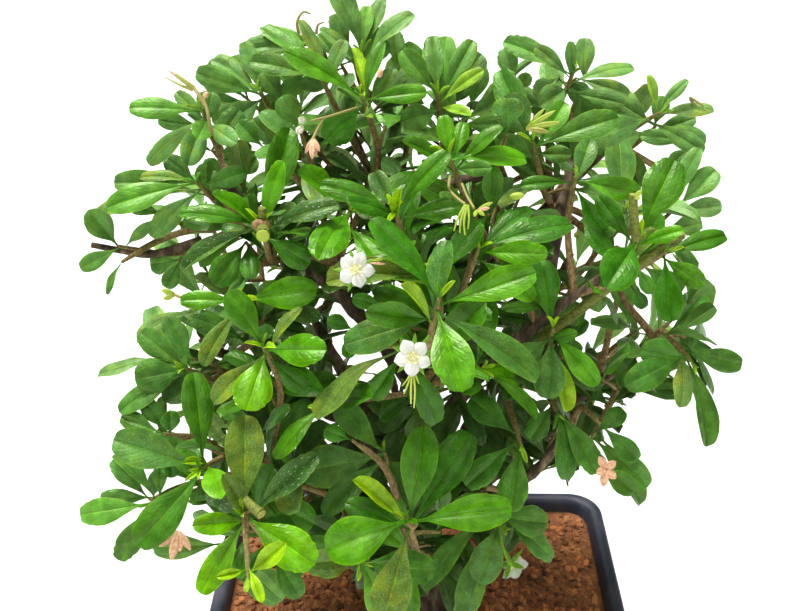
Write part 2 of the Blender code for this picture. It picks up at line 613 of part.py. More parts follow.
def clear_blade(blade, others, own):
    """The first nudge of a blade that crosses nothing, or None."""
    for raised, aside in NUDGES:
        trial = nudged(blade, raised, aside)
        if others.meets(*guard_sheets(trial, False)):
            continue
        if own.meets(*guard_sheets(trial, True)):
            continue
        return trial
    return None


# Where shoots and leaves stand

def blade_in_view(shoot, leaf, seat, stem_way, order):
    """A blade whose outline falls where the leaf is seen, turned to show its seen width."""
    base = seat - stem_way * LEAF_STEP * order
    tip = seen_at(leaf.tip, shoot.depth - leaf.near)
    chord = tip - base
    axis = chord.normalized()
    seen_width = leaf.wide * shoot.depth * MM / VIEW_SCALE
    width = max(seen_width, LEAST_WIDTH_RATIO * chord.length)
    facing = EYE - base
    facing = (facing - axis * facing.dot(axis)).normalized()
    roll = math.acos(min(1.0, seen_width / width)) * 0.8
    turned = [Matrix.Rotation(way * roll, 3, axis) @ facing for way in (1, -1)]
    up = max(turned, key=lambda way: way.z)
    arch, fold = AGE_FORM[leaf.age]
    return Blade(base, tip, up, width, arch, fold)


def shown_spray(shoot):
    seat = seen_at(shoot.seat, shoot.depth)
    foot = seen_at(shoot.foot, shoot.depth + shoot.deeper)
    stem_way = (seat - foot).normalized()
    blades = [blade_in_view(shoot, leaf, seat, stem_way, order)
              for order, leaf in enumerate(shoot.leaves)]
    return Spray(shoot.name, [foot, seat], blades)


def whorl(seat, stem_way, count, draw):
    """Leaves of the rule: an end whorl that runs a little way down its stem."""
    blades = []
    spin = draw.uniform(0, 2 * math.pi)
    first = stem_way.orthogonal().normalized()
    for order in range(count):
        spin += math.radians(137.5)
        lean = math.radians(draw.uniform(54, 74) + 4 * order)
        sideways = Matrix.Rotation(spin, 3, stem_way) @ first
        way = (stem_way * math.cos(lean) + sideways * math.sin(lean) + UP * 0.12).normalized()
        length = draw.uniform(0.020, 0.0265)
        base = seat - stem_way * LEAF_STEP * 1.7 * order
        up = (stem_way * 0.8 + UP * 0.7 - sideways * 0.2).normalized()
        arch, fold = AGE_FORM[draw.choice("BBMMMDDGO")]
        blades.append(Blade(base, base + way * length, up, length * draw.uniform(0.38, 0.47), arch, fold))
    return blades


def crown_seats(taken):
    """Places over the top, sides and back, evenly spread and clear of the shown shoots."""
    draw = random.Random(CROWN_SEED)
    golden = math.pi * (3 - math.sqrt(5))
    places = []
    for order in range(CROWN_POINTS):
        height = 0.99 - (0.99 - CROWN_LOWEST) * order / (CROWN_POINTS - 1)
        level = math.sqrt(1 - height ** 2)
        outward = Vector((level * math.cos(golden * order), level * math.sin(golden * order), height))
        seat = CROWN_MIDDLE + Vector(a * b for a, b in zip(outward, CROWN_REACH))
        seat += outward * draw.uniform(-0.005, 0.005)
        if min((seat - other).length for other in taken) > CROWN_CLEARANCE:
            places.append((seat, outward))
    return places


def crown_sprays(taken):
    """Forked shoots of the rule, each with a whorl at two neighbouring places."""
    draw = random.Random(CROWN_SEED + 1)
    left = crown_seats(taken)
    sprays = []
    while left and len(sprays) < CROWN_SHOOTS:
        seat, outward = left.pop(0)
        name = f"shoot_crown_{len(sprays) + 1:02d}"
        pair = [(seat, outward)]
        near = min(left, key=lambda place: (place[0] - seat).length, default=None)
        if near and (near[0] - seat).length < CROWN_FORK_REACH:
            left.remove(near)
            pair.append(near)
        middle = sum((place[0] for place in pair), Vector()) / len(pair)
        inward = -(pair[0][1] + pair[-1][1] + UP * 0.5).normalized()
        fork = middle + inward * CROWN_STEM
        stems = [Spray(name, [fork + inward * CROWN_STUB, fork], [])]
        for (seat, _), count in zip(pair, CROWN_LEAVES):
            stem_way = (seat - fork).normalized()
            stems.append(Spray(name, [fork, seat], whorl(seat, stem_way, count, draw)))
        sprays.append(stems)
    return [spray for stems in sprays for spray in stems]


# Wood

def smooth_line(points, parts=3):
    """Points of a Catmull-Rom curve through the given points."""
    line = []
    ends = [points[0] * 2 - points[1]] + list(points) + [points[-1] * 2 - points[-2]]
    for a, b, c, d in zip(ends, ends[1:], ends[2:], ends[3:]):
        for part in range(parts):
            t = part / parts
            line.append(0.5 * ((2 * b) + (c - a) * t + (2 * a - 5 * b + 4 * c - d) * t ** 2
                               + (3 * b - a - 3 * c + d) * t ** 3))
    line.append(points[-1])
    return line


def smooth_values(values, parts=3):
    line = []
    for low, high in zip(values, values[1:]):
        line += [low + (high - low) * part / parts for part in range(parts)]
    return line + [values[-1]]


def bezier(start, first, second, end, parts):
    line = []
    for part in range(parts + 1):
        t = part / parts
        line.append(start * (1 - t) ** 3 + first * 3 * t * (1 - t) ** 2
                    + second * 3 * t ** 2 * (1 - t) + end * t ** 3)
    return line


def branch_tubes():
    tubes = []
    for knots in BRANCHES.values():
        points = [Vector(knot) * MM for knot in knots]
        radii = [radius * MM for radius in BRANCH_RADII]
        tubes.append(Tube(smooth_line(points, 2), smooth_values(radii, 2), 6))
    return tubes


def off_segment(place, start, end):
    """Distance from a point to a straight stretch."""
    span = end - start
    share = max(0.0, min(1.0, (place - start).dot(span) / span.length_squared))
    return (place - start - span * share).length


def twig_line(start, foot, way, lift):
    end = foot - way * TWIG_STRAIGHT
    span = (end - start).length
    line = bezier(start, start + (end - start) * 0.3 + UP * span * lift, end - way * span * 0.4, end, 2)
    return line + [foot - way * (FIT_GAP + 0.0001)]


def twig_tube(spray, branches, stretches):
    """A twig to just short of a spray's foot, from the branch point that suits it best.

    It keeps clear of every stem and stalk but the one that it carries.
    """
    foot, seat = spray.stem
    way = (seat - foot).normalized()

    def cost(place):
        reach = foot - place
        return reach.length * (1.6 - reach.normalized().dot(way)) + max(0.0, 0.010 - reach.length) * 9

    def clearance(line):
        inner = [a.lerp(b, share) for a, b in zip(line, line[1:]) for share in (0.0, 0.33, 0.67)]
        return min(off_segment(place, start, end) for place in inner
                   for name, start, end in stretches if name != spray.name)

    starts = sorted((point for tube in branches for point in tube.points[2:]), key=cost)
    trials = [twig_line(start, foot, way, lift) for start in starts[:14] for lift in (0.05, 0.2, -0.15)]
    clear = [line for line in trials if clearance(line) > TWIG_CLEARANCE]
    line = clear[0] if clear else max(trials, key=clearance)
    return Tube(line, [1.3 * TWIG_RADIUS] * 2 + [TWIG_RADIUS] * 2, 4)


def root_tubes():
    tubes = []
    level = POT_HEIGHT - SOIL_BELOW_RIM
    for turn in range(5):
        angle = turn * 2 * math.pi / 5 + 0.4 + 0.2 * math.sin(turn * 2.3)
        way = Vector((math.cos(angle), math.sin(angle), 0.0))
        points = [way * 0.002 + UP * (level + 0.009), way * 0.009 + UP * (level + 0.0045),
                  way * 0.0165 + UP * (level + 0.0026), way * 0.022 + UP * (level + 0.0022)]
        tubes.append(Tube(points, [0.005, 0.0034, 0.0019, 0.0009], 6))
    return tubes


def make_wood(sprays, stretches, collection):
    trunk_points = [Vector(knot) * MM for knot in TRUNK]
    trunk_radii = [radius * MM for radius in TRUNK_RADII]
    trunk = Tube(smooth_line(trunk_points, 2), smooth_values(trunk_radii, 2), 8)
    trunk.points[1] = Vector((0.0, 0.0, trunk.points[1].z))
    branches = branch_tubes()
    repeats = new_collection("wood_repeats")
    base = tube_object("wood", trunk, collection)
    for number, tube in enumerate(branches + root_tubes()):
        tube_object(f"branch_{number}", tube, repeats)
    for number, spray in enumerate(sprays):
        if spray.name != sprays[number - 1].name:
            twig = twig_tube(spray, branches, stretches)
            tube_object(f"twig_{number}", twig, repeats)
    fuse(base, repeats, "EXACT")
    finish(base, (0.16, 0.085, 0.035), 0.85)
    return base


# Sprays and flowers

def average_colour(ages):
    colours = [AGE_COLOUR[age] for age in ages]
    return tuple(sum(channel) / len(colours) for channel in zip(*colours))


def flower_frame(flower):
    centre = seen_at(flower.centre, flower.depth)
    ahead, right, up = flower.facing
    facing = (VIEW_AHEAD * ahead + VIEW_RIGHT * right + VIEW_UP * up).normalized()
    side = facing.cross(UP).normalized()
    return centre, facing, side


def petal_blades(flower):
    """Five broad petals round the flower's centre, a little cupped."""
    centre, facing, side = flower_frame(flower)
    blades = []
    for turn in range(5):
        way = Matrix.Rotation(math.radians(flower.turn + turn * 72), 3, facing) @ side
        tip = centre + way * FLOWER_DIAMETER / 2 + facing * 0.0006
        blades.append(Blade(centre, tip, facing, PETAL_WIDTH, 0.3, 0.12))
    return blades


def disc(name, centre, facing, radius, height, collection):
    """A small six-sided button whose axis is the flower's."""
    bpy.ops.mesh.primitive_cylinder_add(vertices=6, radius=radius, depth=height)
    button = bpy.context.object
    turn = facing.to_track_quat("Z", "Y").to_matrix().to_4x4()
    button.data.transform(Matrix.Translation(centre) @ turn)
    button.name = name
    for owner in list(button.users_collection):
        owner.objects.unlink(button)
    collection.objects.link(button)
    return button


def make_corolla(flower, collection):
    centre, facing, _ = flower_frame(flower)
    repeats = new_collection("petals")
    for number, blade in enumerate(petal_blades(flower)):
        mesh_object(f"petal_{number}", *blade_body(blade, PETAL_EDGE), repeats)
    base = disc(flower.name, centre, facing, 0.0011, 0.0013, collection)
    fuse(base, repeats, "EXACT")
    finish(base, (0.86, 0.86, 0.78), 0.6)


def calyx_parts(flower, stem):
    """Green sepals behind the flower and the stalk that carries it, clear of the corolla."""
    centre, facing, side = flower_frame(flower)
    back = centre - facing * CALYX_BEHIND
    sepals = []
    for turn in range(5):
        way = Matrix.Rotation(math.radians(flower.turn + turn * 72 + 36), 3, facing) @ side
        tip = back + way * CALYX_REACH - facing * 0.0006
        sepals.append(Blade(back, tip, facing, SEPAL_WIDTH, 0.2, 0.1))
    foot = min((stem[0].lerp(stem[1], share) for share in (0.35, 0.5, 0.65, 0.8)),
               key=lambda place: (place - back).length)
    bend = back - facing * (foot - back).length * 0.35
    line = bezier(foot, foot.lerp(bend, 0.5), bend, back + facing * 0.0001, 4)
    return sepals, Tube(line, [STALK_RADIUS] * len(line), 4)


def main():
    clear_scene()
    tree = new_collection("potted_fukien_tea_tree")
    cutters = new_collection("cutters")
    make_pot(tree, cutters)
    make_soil(tree)

    shown = [shown_spray(shoot) for shoot in SHOWN_SHOOTS]
    seats = [spray.stem[1] for spray in shown]
    ages = {}
    for shoot in SHOWN_SHOOTS:
        ages.setdefault(shoot.name, []).extend(leaf.age for leaf in shoot.leaves)
    sprays = shown + crown_sprays(seats)

    calyces = {}
    flower_skins = {}
    for flower in FLOWERS:
        spray = next(spray for spray in shown if spray.name == flower.shoot)
        calyces.setdefault(flower.shoot, []).append(calyx_parts(flower, spray.stem))
        for blade in petal_blades(flower):
            flower_skins.setdefault(flower.name, []).append(guard_sheets(blade, False))

    stretches = [(spray.name, *spray.stem) for spray in sprays]
    for name, parts in calyces.items():
        for _, stalk in parts:
            stretches += [(name, start, end) for start, end in zip(stalk.points, stalk.points[1:])]
    wood = make_wood(sprays, stretches, tree)

    stems = {}
    blades = {}
    for spray in sprays:
        stems.setdefault(spray.name, []).append(spray.stem)
        blades.setdefault(spray.name, []).extend(spray.blades)

    placed = {}
    skins = {}
    for name in stems:
        skins[name] = [rod(stem, STEM_RADIUS + GUARD) for stem in stems[name]]
        for sepals, stalk in calyces.get(name, []):
            skins[name].append(rod(stalk.points, max(stalk.radii) + GUARD))
            skins[name] += [guard_sheets(sepal, False) for sepal in sepals]
    wood_points = [corner.co.copy() for corner in wood.data.vertices]
    wood_faces = [tuple(face.vertices) for face in wood.data.polygons]
    dropped = 0
    for name in stems:
        others = Obstacles()
        others.add(wood_points, wood_faces)
        for other, skin_list in list(skins.items()) + list(flower_skins.items()):
            if other != name:
                for points, faces in skin_list:
                    others.add(points, faces)
        own = Obstacles()
        for sepals, _ in calyces.get(name, []):
            for sepal in sepals:
                own.add(*guard_sheets(sepal, False))
        placed[name] = []
        for blade in blades[name]:
            found = clear_blade(blade, others, own)
            if found is None:
                dropped += 1
                continue
            placed[name].append(found)
            own.add(blade_sheet(found), sheet_faces()[1:-1])
            skins[name].append(guard_sheets(found, False))
    print("leaves placed", sum(len(found) for found in placed.values()), "dropped", dropped)

    for name in stems:
        repeats = new_collection("leaves")
        edge = LEAF_EDGE if name in ages else CROWN_EDGE
        for number, blade in enumerate(placed[name]):
            mesh_object(f"leaf_{number}", *blade_body(blade, edge), repeats)
        for sepals, stalk in calyces.get(name, []):
            for number, sepal in enumerate(sepals):
                mesh_object(f"sepal_{number}", *blade_body(sepal, SEPAL_EDGE), repeats)
            tube_object("stalk", stalk, repeats)
        lines = []
        for foot, seat in stems[name]:
            way = (seat - foot).normalized()
            lines.append(Tube([foot, seat + way * STEM_PAST_SEAT], [STEM_RADIUS, STEM_RADIUS * 0.75], 4))
        base = tube_object(name, lines[0], tree)
        for number, line in enumerate(lines[1:]):
            tube_object(f"stem_{number}", line, repeats)
        fuse(base, repeats, "EXACT")
        finish(base, average_colour(ages.get(name, "BMMDDG")), 0.42)

    for flower in FLOWERS:
        make_corolla(flower, tree)


main()
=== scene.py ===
"""Potted fukien tea tree: leaves, flowers, wood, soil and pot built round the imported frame.

Metres, +Z up. The origin is the middle of the pot's flat underside, and the tree's shown side
faces -Y. What stands on the shown side is placed by marks: a pixel across and down the 800 x 611
frame of the reference view, and a distance from the eye in millimetres. The other shoots follow
a rule over the crown.
"""

import json
import math
import random
from collections import namedtuple

import bmesh
import bpy
from mathutils import Matrix, Vector
from mathutils.bvhtree import BVHTree
from mathutils.kdtree import KDTree

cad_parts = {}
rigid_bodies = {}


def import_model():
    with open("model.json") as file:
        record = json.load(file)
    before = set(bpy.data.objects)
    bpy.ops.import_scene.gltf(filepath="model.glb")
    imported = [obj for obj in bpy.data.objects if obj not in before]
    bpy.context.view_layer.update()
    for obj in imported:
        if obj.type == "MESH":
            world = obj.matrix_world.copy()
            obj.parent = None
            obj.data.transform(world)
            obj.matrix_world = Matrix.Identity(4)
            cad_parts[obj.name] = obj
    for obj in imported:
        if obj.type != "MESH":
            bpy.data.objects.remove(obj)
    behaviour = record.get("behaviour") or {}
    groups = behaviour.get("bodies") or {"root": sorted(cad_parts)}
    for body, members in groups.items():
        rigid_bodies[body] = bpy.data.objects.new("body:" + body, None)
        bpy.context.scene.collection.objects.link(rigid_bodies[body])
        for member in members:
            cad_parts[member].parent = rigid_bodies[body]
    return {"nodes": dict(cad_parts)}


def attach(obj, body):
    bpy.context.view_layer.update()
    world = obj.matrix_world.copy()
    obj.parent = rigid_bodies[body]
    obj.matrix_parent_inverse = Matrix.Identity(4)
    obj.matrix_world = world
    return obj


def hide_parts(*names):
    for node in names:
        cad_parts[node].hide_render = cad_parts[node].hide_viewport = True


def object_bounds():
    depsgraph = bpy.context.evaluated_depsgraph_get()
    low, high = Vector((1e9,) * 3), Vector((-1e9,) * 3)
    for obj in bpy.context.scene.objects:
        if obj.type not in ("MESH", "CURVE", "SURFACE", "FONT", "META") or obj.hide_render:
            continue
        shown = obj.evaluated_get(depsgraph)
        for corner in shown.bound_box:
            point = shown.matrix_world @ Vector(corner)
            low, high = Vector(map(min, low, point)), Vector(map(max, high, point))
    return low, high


bl_info = {
    "name": "Potted Fukien Tea Tree",
    "version": (1, 0, 0),
    "blender": (4, 5, 0),
    "location": "View3D > Sidebar > Tea Tree",
    "description": "Builds the leaves, flowers, wood, soil and pot of a small clipped tree",
    "category": "Object",
}

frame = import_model()
CAD_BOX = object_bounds()

MM = 0.001
UP = Vector((0.0, 0.0, 1.0))

# Sizes of the pot and soil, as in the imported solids
POT_SIDE = 0.150
POT_HEIGHT = 0.120
POT_FOOT_SIDE = 0.112
POT_WALL = 0.0022
POT_FLOOR = 0.003
LIP_WIDTH = 0.0045
LIP_DROP = 0.0115
CORNER_RADIUS = 0.013
INNER_CORNER = CORNER_RADIUS - 0.004
DRAIN_RADIUS = 0.0045
DRAIN_FROM_CENTRE = 0.030
SOIL_LEVEL = POT_HEIGHT - 0.0055
SOIL_RISE = 0.0006
SOIL_STEPS = 192
TRUNK_FOOT_RADIUS = 0.0088

# Sizes of the stems, leaves and flowers
TWIG_RADIUS = 0.0009
TWIG_CLEARANCE = 0.0028
TWIG_STRAIGHT = 0.0018
STEM_RADIUS = 0.0008
LEAST_WIDTH_RATIO = 0.38
LEAF_STEP = 0.0011
FLOWER_DIAMETER = 0.0094
PETALS = 5
PETAL_WIDTH = 0.0040
CALYX_REACH = 0.0056
CALYX_BEHIND = 0.0017
SEPAL_WIDTH = 0.0015
STALK_RADIUS = 0.00042
TIP_TOLERANCE = 0.0002

# The reference view: eye in the pot's frame, its dip and turn, and its scale in pixels
EYE = Vector((-0.0021, -0.3179, POT_HEIGHT + 0.2828))
EYE_DIP = math.radians(26.6)
EYE_TURN = math.radians(0.73)
VIEW_SCALE = 1150.0
VIEW_SIZE = (800.0, 611.0)
VIEW_MIDDLE = (VIEW_SIZE[0] / 2, VIEW_SIZE[1] / 2)
VIEW_AHEAD = Vector((-math.sin(EYE_TURN) * math.cos(EYE_DIP),
                     math.cos(EYE_TURN) * math.cos(EYE_DIP), -math.sin(EYE_DIP)))
VIEW_RIGHT = Vector((math.cos(EYE_TURN), math.sin(EYE_TURN), 0.0))
VIEW_UP = VIEW_RIGHT.cross(VIEW_AHEAD)

# Crown: middle and reach of the ellipsoid on which the rule's shoots end
CROWN_MIDDLE = Vector((0.001, 0.012, 0.207))
CROWN_REACH = Vector((0.081, 0.076, 0.093))
CROWN_POINTS = 58
CROWN_SHOOTS = 20
CROWN_LOWEST = -0.28
CROWN_CLEARANCE = 0.0205
CROWN_FORK_REACH = 0.046
CROWN_STEM = 0.016
CROWN_STUB = 0.004
CROWN_LEAVES = (4, 3)
CROWN_SEED = 11

# Steps between the inner tufts along branches and twigs, and the seeds of the scene's own draws
BRANCH_TUFT_STEP = 0.0085
TWIG_TUFT_STEP = 0.0062
INNER_SEED = 29
LEAF_SEED = 5
FLOWER_SEED = 17
DETAIL_SEED = 23

# How far from the eye leaves start to pale, and over what depth
FAR_FROM = 0.318
FAR_DEPTH = 0.045

# Each leaf stands a golden angle on from the one before it
LEAF_TURN = math.radians(137.5)

Flower = namedtuple("Flower", "name shoot centre facing turn")
Blade = namedtuple("Blade", "base tip up width arch fold age")
Spray = namedtuple("Spray", "name stem blades")
Tube = namedtuple("Tube", "points radii young")

# Ages of a leaf: the name of its colour, its arch and fold in radians, how worn and how dotted it is
Age = namedtuple("Age", "colour arch fold worn dots")
# Age F keeps the form of B with a lighter colour: painted light for bright leaves that stand in shade
AGES = {"Y": Age("young", 0.35, 0.55, 0.0, 0.0), "F": Age("fresh", 0.55, 0.22, 0.0, 0.0),
        "B": Age("bright", 0.55, 0.22, 0.05, 0.0), "M": Age("middle", 0.60, 0.25, 0.2, 0.0),
        "D": Age("dark", 0.65, 0.20, 0.3, 0.0), "G": Age("dull", 0.50, 0.18, 0.6, 0.12),
        "O": Age("old", 0.70, 0.30, 1.0, 0.15), "S": Age("spotted", 0.45, 0.40, 0.8, 0.9)}

# How the outlines of leaves, petals and other blades swell
LEAF_FORM = {"Widest": 1.85, "Base": 1.25, "Tip": 0.34, "Stalk": 0.09}
INNER_FORM = dict(LEAF_FORM, Tip=0.36)
BUD_FORM = {"Widest": 1.3, "Base": 0.7, "Tip": 0.6, "Stalk": 0.2}
PETAL_FORM = {"Widest": 1.15, "Base": 0.7, "Tip": 0.95, "Stalk": 0.4}
SEPAL_FORM = {"Widest": 0.85, "Base": 0.5, "Tip": 1.1, "Stalk": 0.4}
SCALE_FORM = {"Widest": 1.1, "Base": 0.6, "Tip": 0.8, "Stalk": 0.3}

# Shoots of the shown side: name, marks of seat and foot, and leaves. A leaf has the pixel of its
# tip, how many millimetres nearer than the seat the tip is, its seen width in pixels and its age.
SHOWN_SHOOTS = (
    ("shoot_centre", (438, 302, 275), (427, 352, 285), ((370, 220, 2, 32, "D"), (536, 272, 2, 40, "B"),
     (466, 402, 5, 45, "B"), (537, 381, -3, 36, "G"), (344, 345, -4, 38, "G"), (365, 312, 4, 36, "M"),
     (447, 240, -7, 28, "G"), (400, 285, 8, 12, "Y"))),
    ("shoot_centre_behind", (438, 278, 289), (440, 308, 302), ((326, 282, 1, 32, "O"),
     (376, 248, 3, 16, "D"), (480, 222, -6, 26, "D"))),
    ("shoot_centre_low", (402, 350, 294), (414, 380, 307), ((315, 418, 0, 10, "O"),
     (372, 398, -7, 26, "D"), (436, 424, -9, 30, "D"))),
    ("shoot_left_middle", (264, 348, 300), (276, 372, 312), ((229, 291, 4, 32, "M"),
     (327, 350, 8, 38, "B"), (246, 411, 7, 44, "F"), (213, 402, -3, 26, "O"), (302, 308, -6, 12, "O"),
     (306, 390, -9, 26, "D"))),
    ("shoot_left_inner", (242, 300, 315), (258, 322, 327), ((317, 289, 3, 38, "B"),
     (180, 301, 0, 22, "B"), (203, 366, 2, 24, "O"))),
    ("shoot_left_high", (262, 225, 305), (268, 252, 317), ((183, 270, 2, 20, "S"),
     (179, 214, 0, 22, "M"), (290, 128, -4, 42, "M"), (340, 205, 2, 18, "S"), (283, 161, 5, 24, "B"),
     (310, 264, -4, 30, "D"), (207, 197, 4, 14, "B"))),
    ("shoot_left_far", (197, 183, 326), (216, 202, 336), ((107, 208, 3, 32, "B"),
     (140, 178, -2, 14, "O"), (245, 172, -3, 24, "D"), (150, 236, 2, 26, "G"), (90, 222, -8, 24, "O"))),
    ("shoot_left_top", (203, 112, 330), (214, 140, 338), ((129, 108, 2, 26, "B"),
     (187, 166, 6, 32, "G"), (148, 164, -2, 16, "G"), (197, 140, 13, 24, "B"), (233, 141, 8, 22, "G"),
     (176, 92, -4, 18, "G"))),
    ("shoot_left_crest", (262, 95, 349), (276, 122, 357), ((196, 72, 2, 32, "B"),
     (226, 124, 6, 28, "G"), (214, 58, -6, 24, "M"), (244, 42, -4, 26, "M"), (306, 76, 0, 24, "D"))),
    ("shoot_top_centre", (362, 98, 315), (374, 132, 327), ((284, 52, 2, 30, "B"), (427, 92, 2, 24, "B"),
     (326, 141, -4, 38, "D"), (384, 42, -4, 20, "M"), (360, 44, -3, 14, "Y"), (395, 68, -5, 16, "G"),
     (364, 116, 10, 22, "Y"))),
    ("shoot_crest_left", (322, 80, 338), (338, 112, 346), ((250, 62, 0, 24, "M"),
     (262, 27, -6, 20, "B"), (299, 20, 0, 14, "O"), (345, 40, -3, 18, "G"))),
    ("shoot_crest", (362, 56, 345), (366, 88, 351), ((332, -20, 0, 26, "M"), (368, 6, -2, 18, "B"),
     (414, 14, 0, 14, "M"), (388, 2, -6, 14, "M"), (322, 26, 3, 14, "G"))),
    ("shoot_crest_right", (438, 96, 335), (440, 124, 343), ((402, 50, 2, 28, "B"),
     (432, 36, -5, 26, "M"), (472, 42, -4, 28, "M"), (484, 70, 4, 16, "Y"), (471, 116, 8, 14, "Y"),
     (400, 122, 3, 30, "D"))),
    ("shoot_centre_high", (396, 212, 290), (404, 242, 302), ((449, 152, 2, 28, "M"),
     (320, 185, 0, 22, "M"), (374, 172, -6, 30, "S"), (463, 206, 2, 24, "M"), (343, 204, 6, 18, "D"),
     (402, 188, 8, 14, "Y"))),
    ("shoot_high_right", (450, 160, 300), (462, 190, 308), ((526, 160, -4, 22, "B"),
     (443, 115, -2, 20, "B"), (464, 122, -5, 18, "B"), (492, 168, 5, 18, "G"), (503, 127, 0, 16, "M"),
     (402, 141, 3, 14, "M"))),
    ("shoot_upper_right", (533, 145, 325), (540, 176, 333), ((504, 96, 0, 40, "G"),
     (619, 118, 2, 32, "M"), (565, 102, -2, 28, "B"), (572, 154, 4, 22, "G"), (500, 70, -8, 38, "D"),
     (496, 136, 4, 26, "M"))),
    ("shoot_far_crest", (572, 76, 352), (560, 104, 358), ((503, 42, 0, 22, "B"), (535, 47, 2, 16, "M"),
     (570, 41, 4, 14, "B"), (634, 68, -3, 14, "M"), (538, 106, 8, 34, "D"), (625, 104, 4, 26, "M"))),
    ("shoot_far_right", (658, 114, 344), (634, 128, 352), ((648, 75, 0, 14, "Y"), (688, 80, 2, 16, "M"),
     (714, 110, 0, 16, "O"), (585, 138, 5, 36, "D"), (704, 152, 0, 24, "M"))),
    ("shoot_right", (637, 240, 300), (624, 268, 309), ((675, 160, -2, 46, "M"), (606, 288, 10, 48, "D"),
     (598, 196, -2, 24, "D"), (684, 230, 4, 18, "B"))),
    ("shoot_right_high", (575, 180, 309), (570, 206, 316), ((641, 192, 3, 28, "B"),
     (520, 186, 0, 18, "M"), (604, 232, -6, 28, "D"), (590, 140, -6, 26, "G"))),
    ("shoot_right_centre", (478, 250, 298), (468, 276, 308), ((571, 225, 0, 30, "D"),
     (550, 254, 5, 28, "B"), (530, 205, -4, 22, "D"), (534, 300, 2, 26, "B"))),
    ("shoot_right_inner", (553, 330, 318), (548, 352, 326), ((540, 260, -2, 34, "D"),
     (598, 385, 4, 30, "B"), (548, 398, 3, 38, "G"), (514, 366, -3, 30, "G"), (578, 333, 6, 18, "M"),
     (566, 412, -2, 16, "Y"))),
    ("shoot_right_edge", (664, 254, 310), (646, 264, 313), ((671, 322, 2, 36, "D"),
     (704, 285, 2, 26, "B"), (726, 236, -4, 26, "M"))),
    ("shoot_right_low", (688, 358, 318), (672, 340, 322), ((640, 350, 3, 34, "D"),
     (622, 388, 5, 32, "D"), (706, 447, 2, 18, "M"), (742, 365, -2, 28, "M"), (675, 410, 6, 18, "O"))),
    ("shoot_low_right", (556, 408, 325), (548, 384, 331), ((596, 474, 4, 26, "M"),
     (566, 480, 1, 22, "D"), (530, 440, -2, 26, "D"))),
    ("shoot_edge_right", (592, 437, 330), (606, 412, 336), ((648, 487, 3, 38, "M"),
     (624, 410, -3, 22, "D"), (640, 505, -3, 24, "M"))),
    ("shoot_left_dark", (187, 369, 328), (206, 378, 338), ((135, 380, 4, 40, "D"),
     (140, 332, 0, 30, "M"), (119, 412, 2, 26, "M"), (168, 318, -4, 28, "D"))),
    ("shoot_lower_left", (203, 468, 312), (222, 458, 325), ((193, 372, 0, 36, "M"),
     (113, 440, 2, 46, "G"), (137, 546, 4, 42, "M"), (222, 499, 12, 30, "F"), (183, 463, 7, 12, "Y"))),
    ("shoot_left_tip", (152, 503, 326), (176, 496, 335), ((80, 515, 0, 30, "B"), (118, 560, 3, 28, "M"),
     (113, 455, -2, 18, "M"), (160, 464, -5, 16, "D"))),
    ("shoot_front_left", (244, 515, 303), (262, 535, 317), ((245, 415, -2, 46, "O"),
     (315, 565, 6, 50, "F"), (318, 455, -2, 36, "S"), (201, 594, 5, 30, "F"), (192, 526, 6, 28, "F"),
     (215, 470, 3, 26, "O"))),
    ("shoot_front_left", (248, 574, 297), (245, 512, 303), ((286, 543, 6, 28, "Y"),
     (216, 577, 5, 20, "Y"), (262, 603, 6, 16, "Y"))),
    ("shoot_front", (408, 520, 300), (416, 548, 313), ((326, 550, 3, 56, "B"), (512, 508, 3, 46, "B"),
     (425, 424, 0, 44, "M"), (382, 626, 2, 45, "O"), (470, 432, -5, 44, "D"), (352, 480, 6, 24, "Y"),
     (345, 503, -4, 26, "D"))),
    ("shoot_front_inner", (385, 454, 335), (392, 480, 343), ((300, 472, 0, 46, "G"),
     (336, 402, -3, 32, "D"), (326, 520, 3, 30, "D"))),
    ("shoot_front_right", (500, 522, 332), (488, 500, 340), ((478, 587, 4, 40, "G"),
     (463, 628, 7, 34, "G"), (548, 523, 2, 38, "M"), (424, 590, 0, 20, "M"), (552, 560, -5, 24, "D"))),
    ("shoot_mid_right", (520, 442, 322), (512, 416, 330), ((510, 512, 4, 34, "M"),
     (466, 486, -5, 32, "D"), (470, 398, -6, 32, "D"))),
)

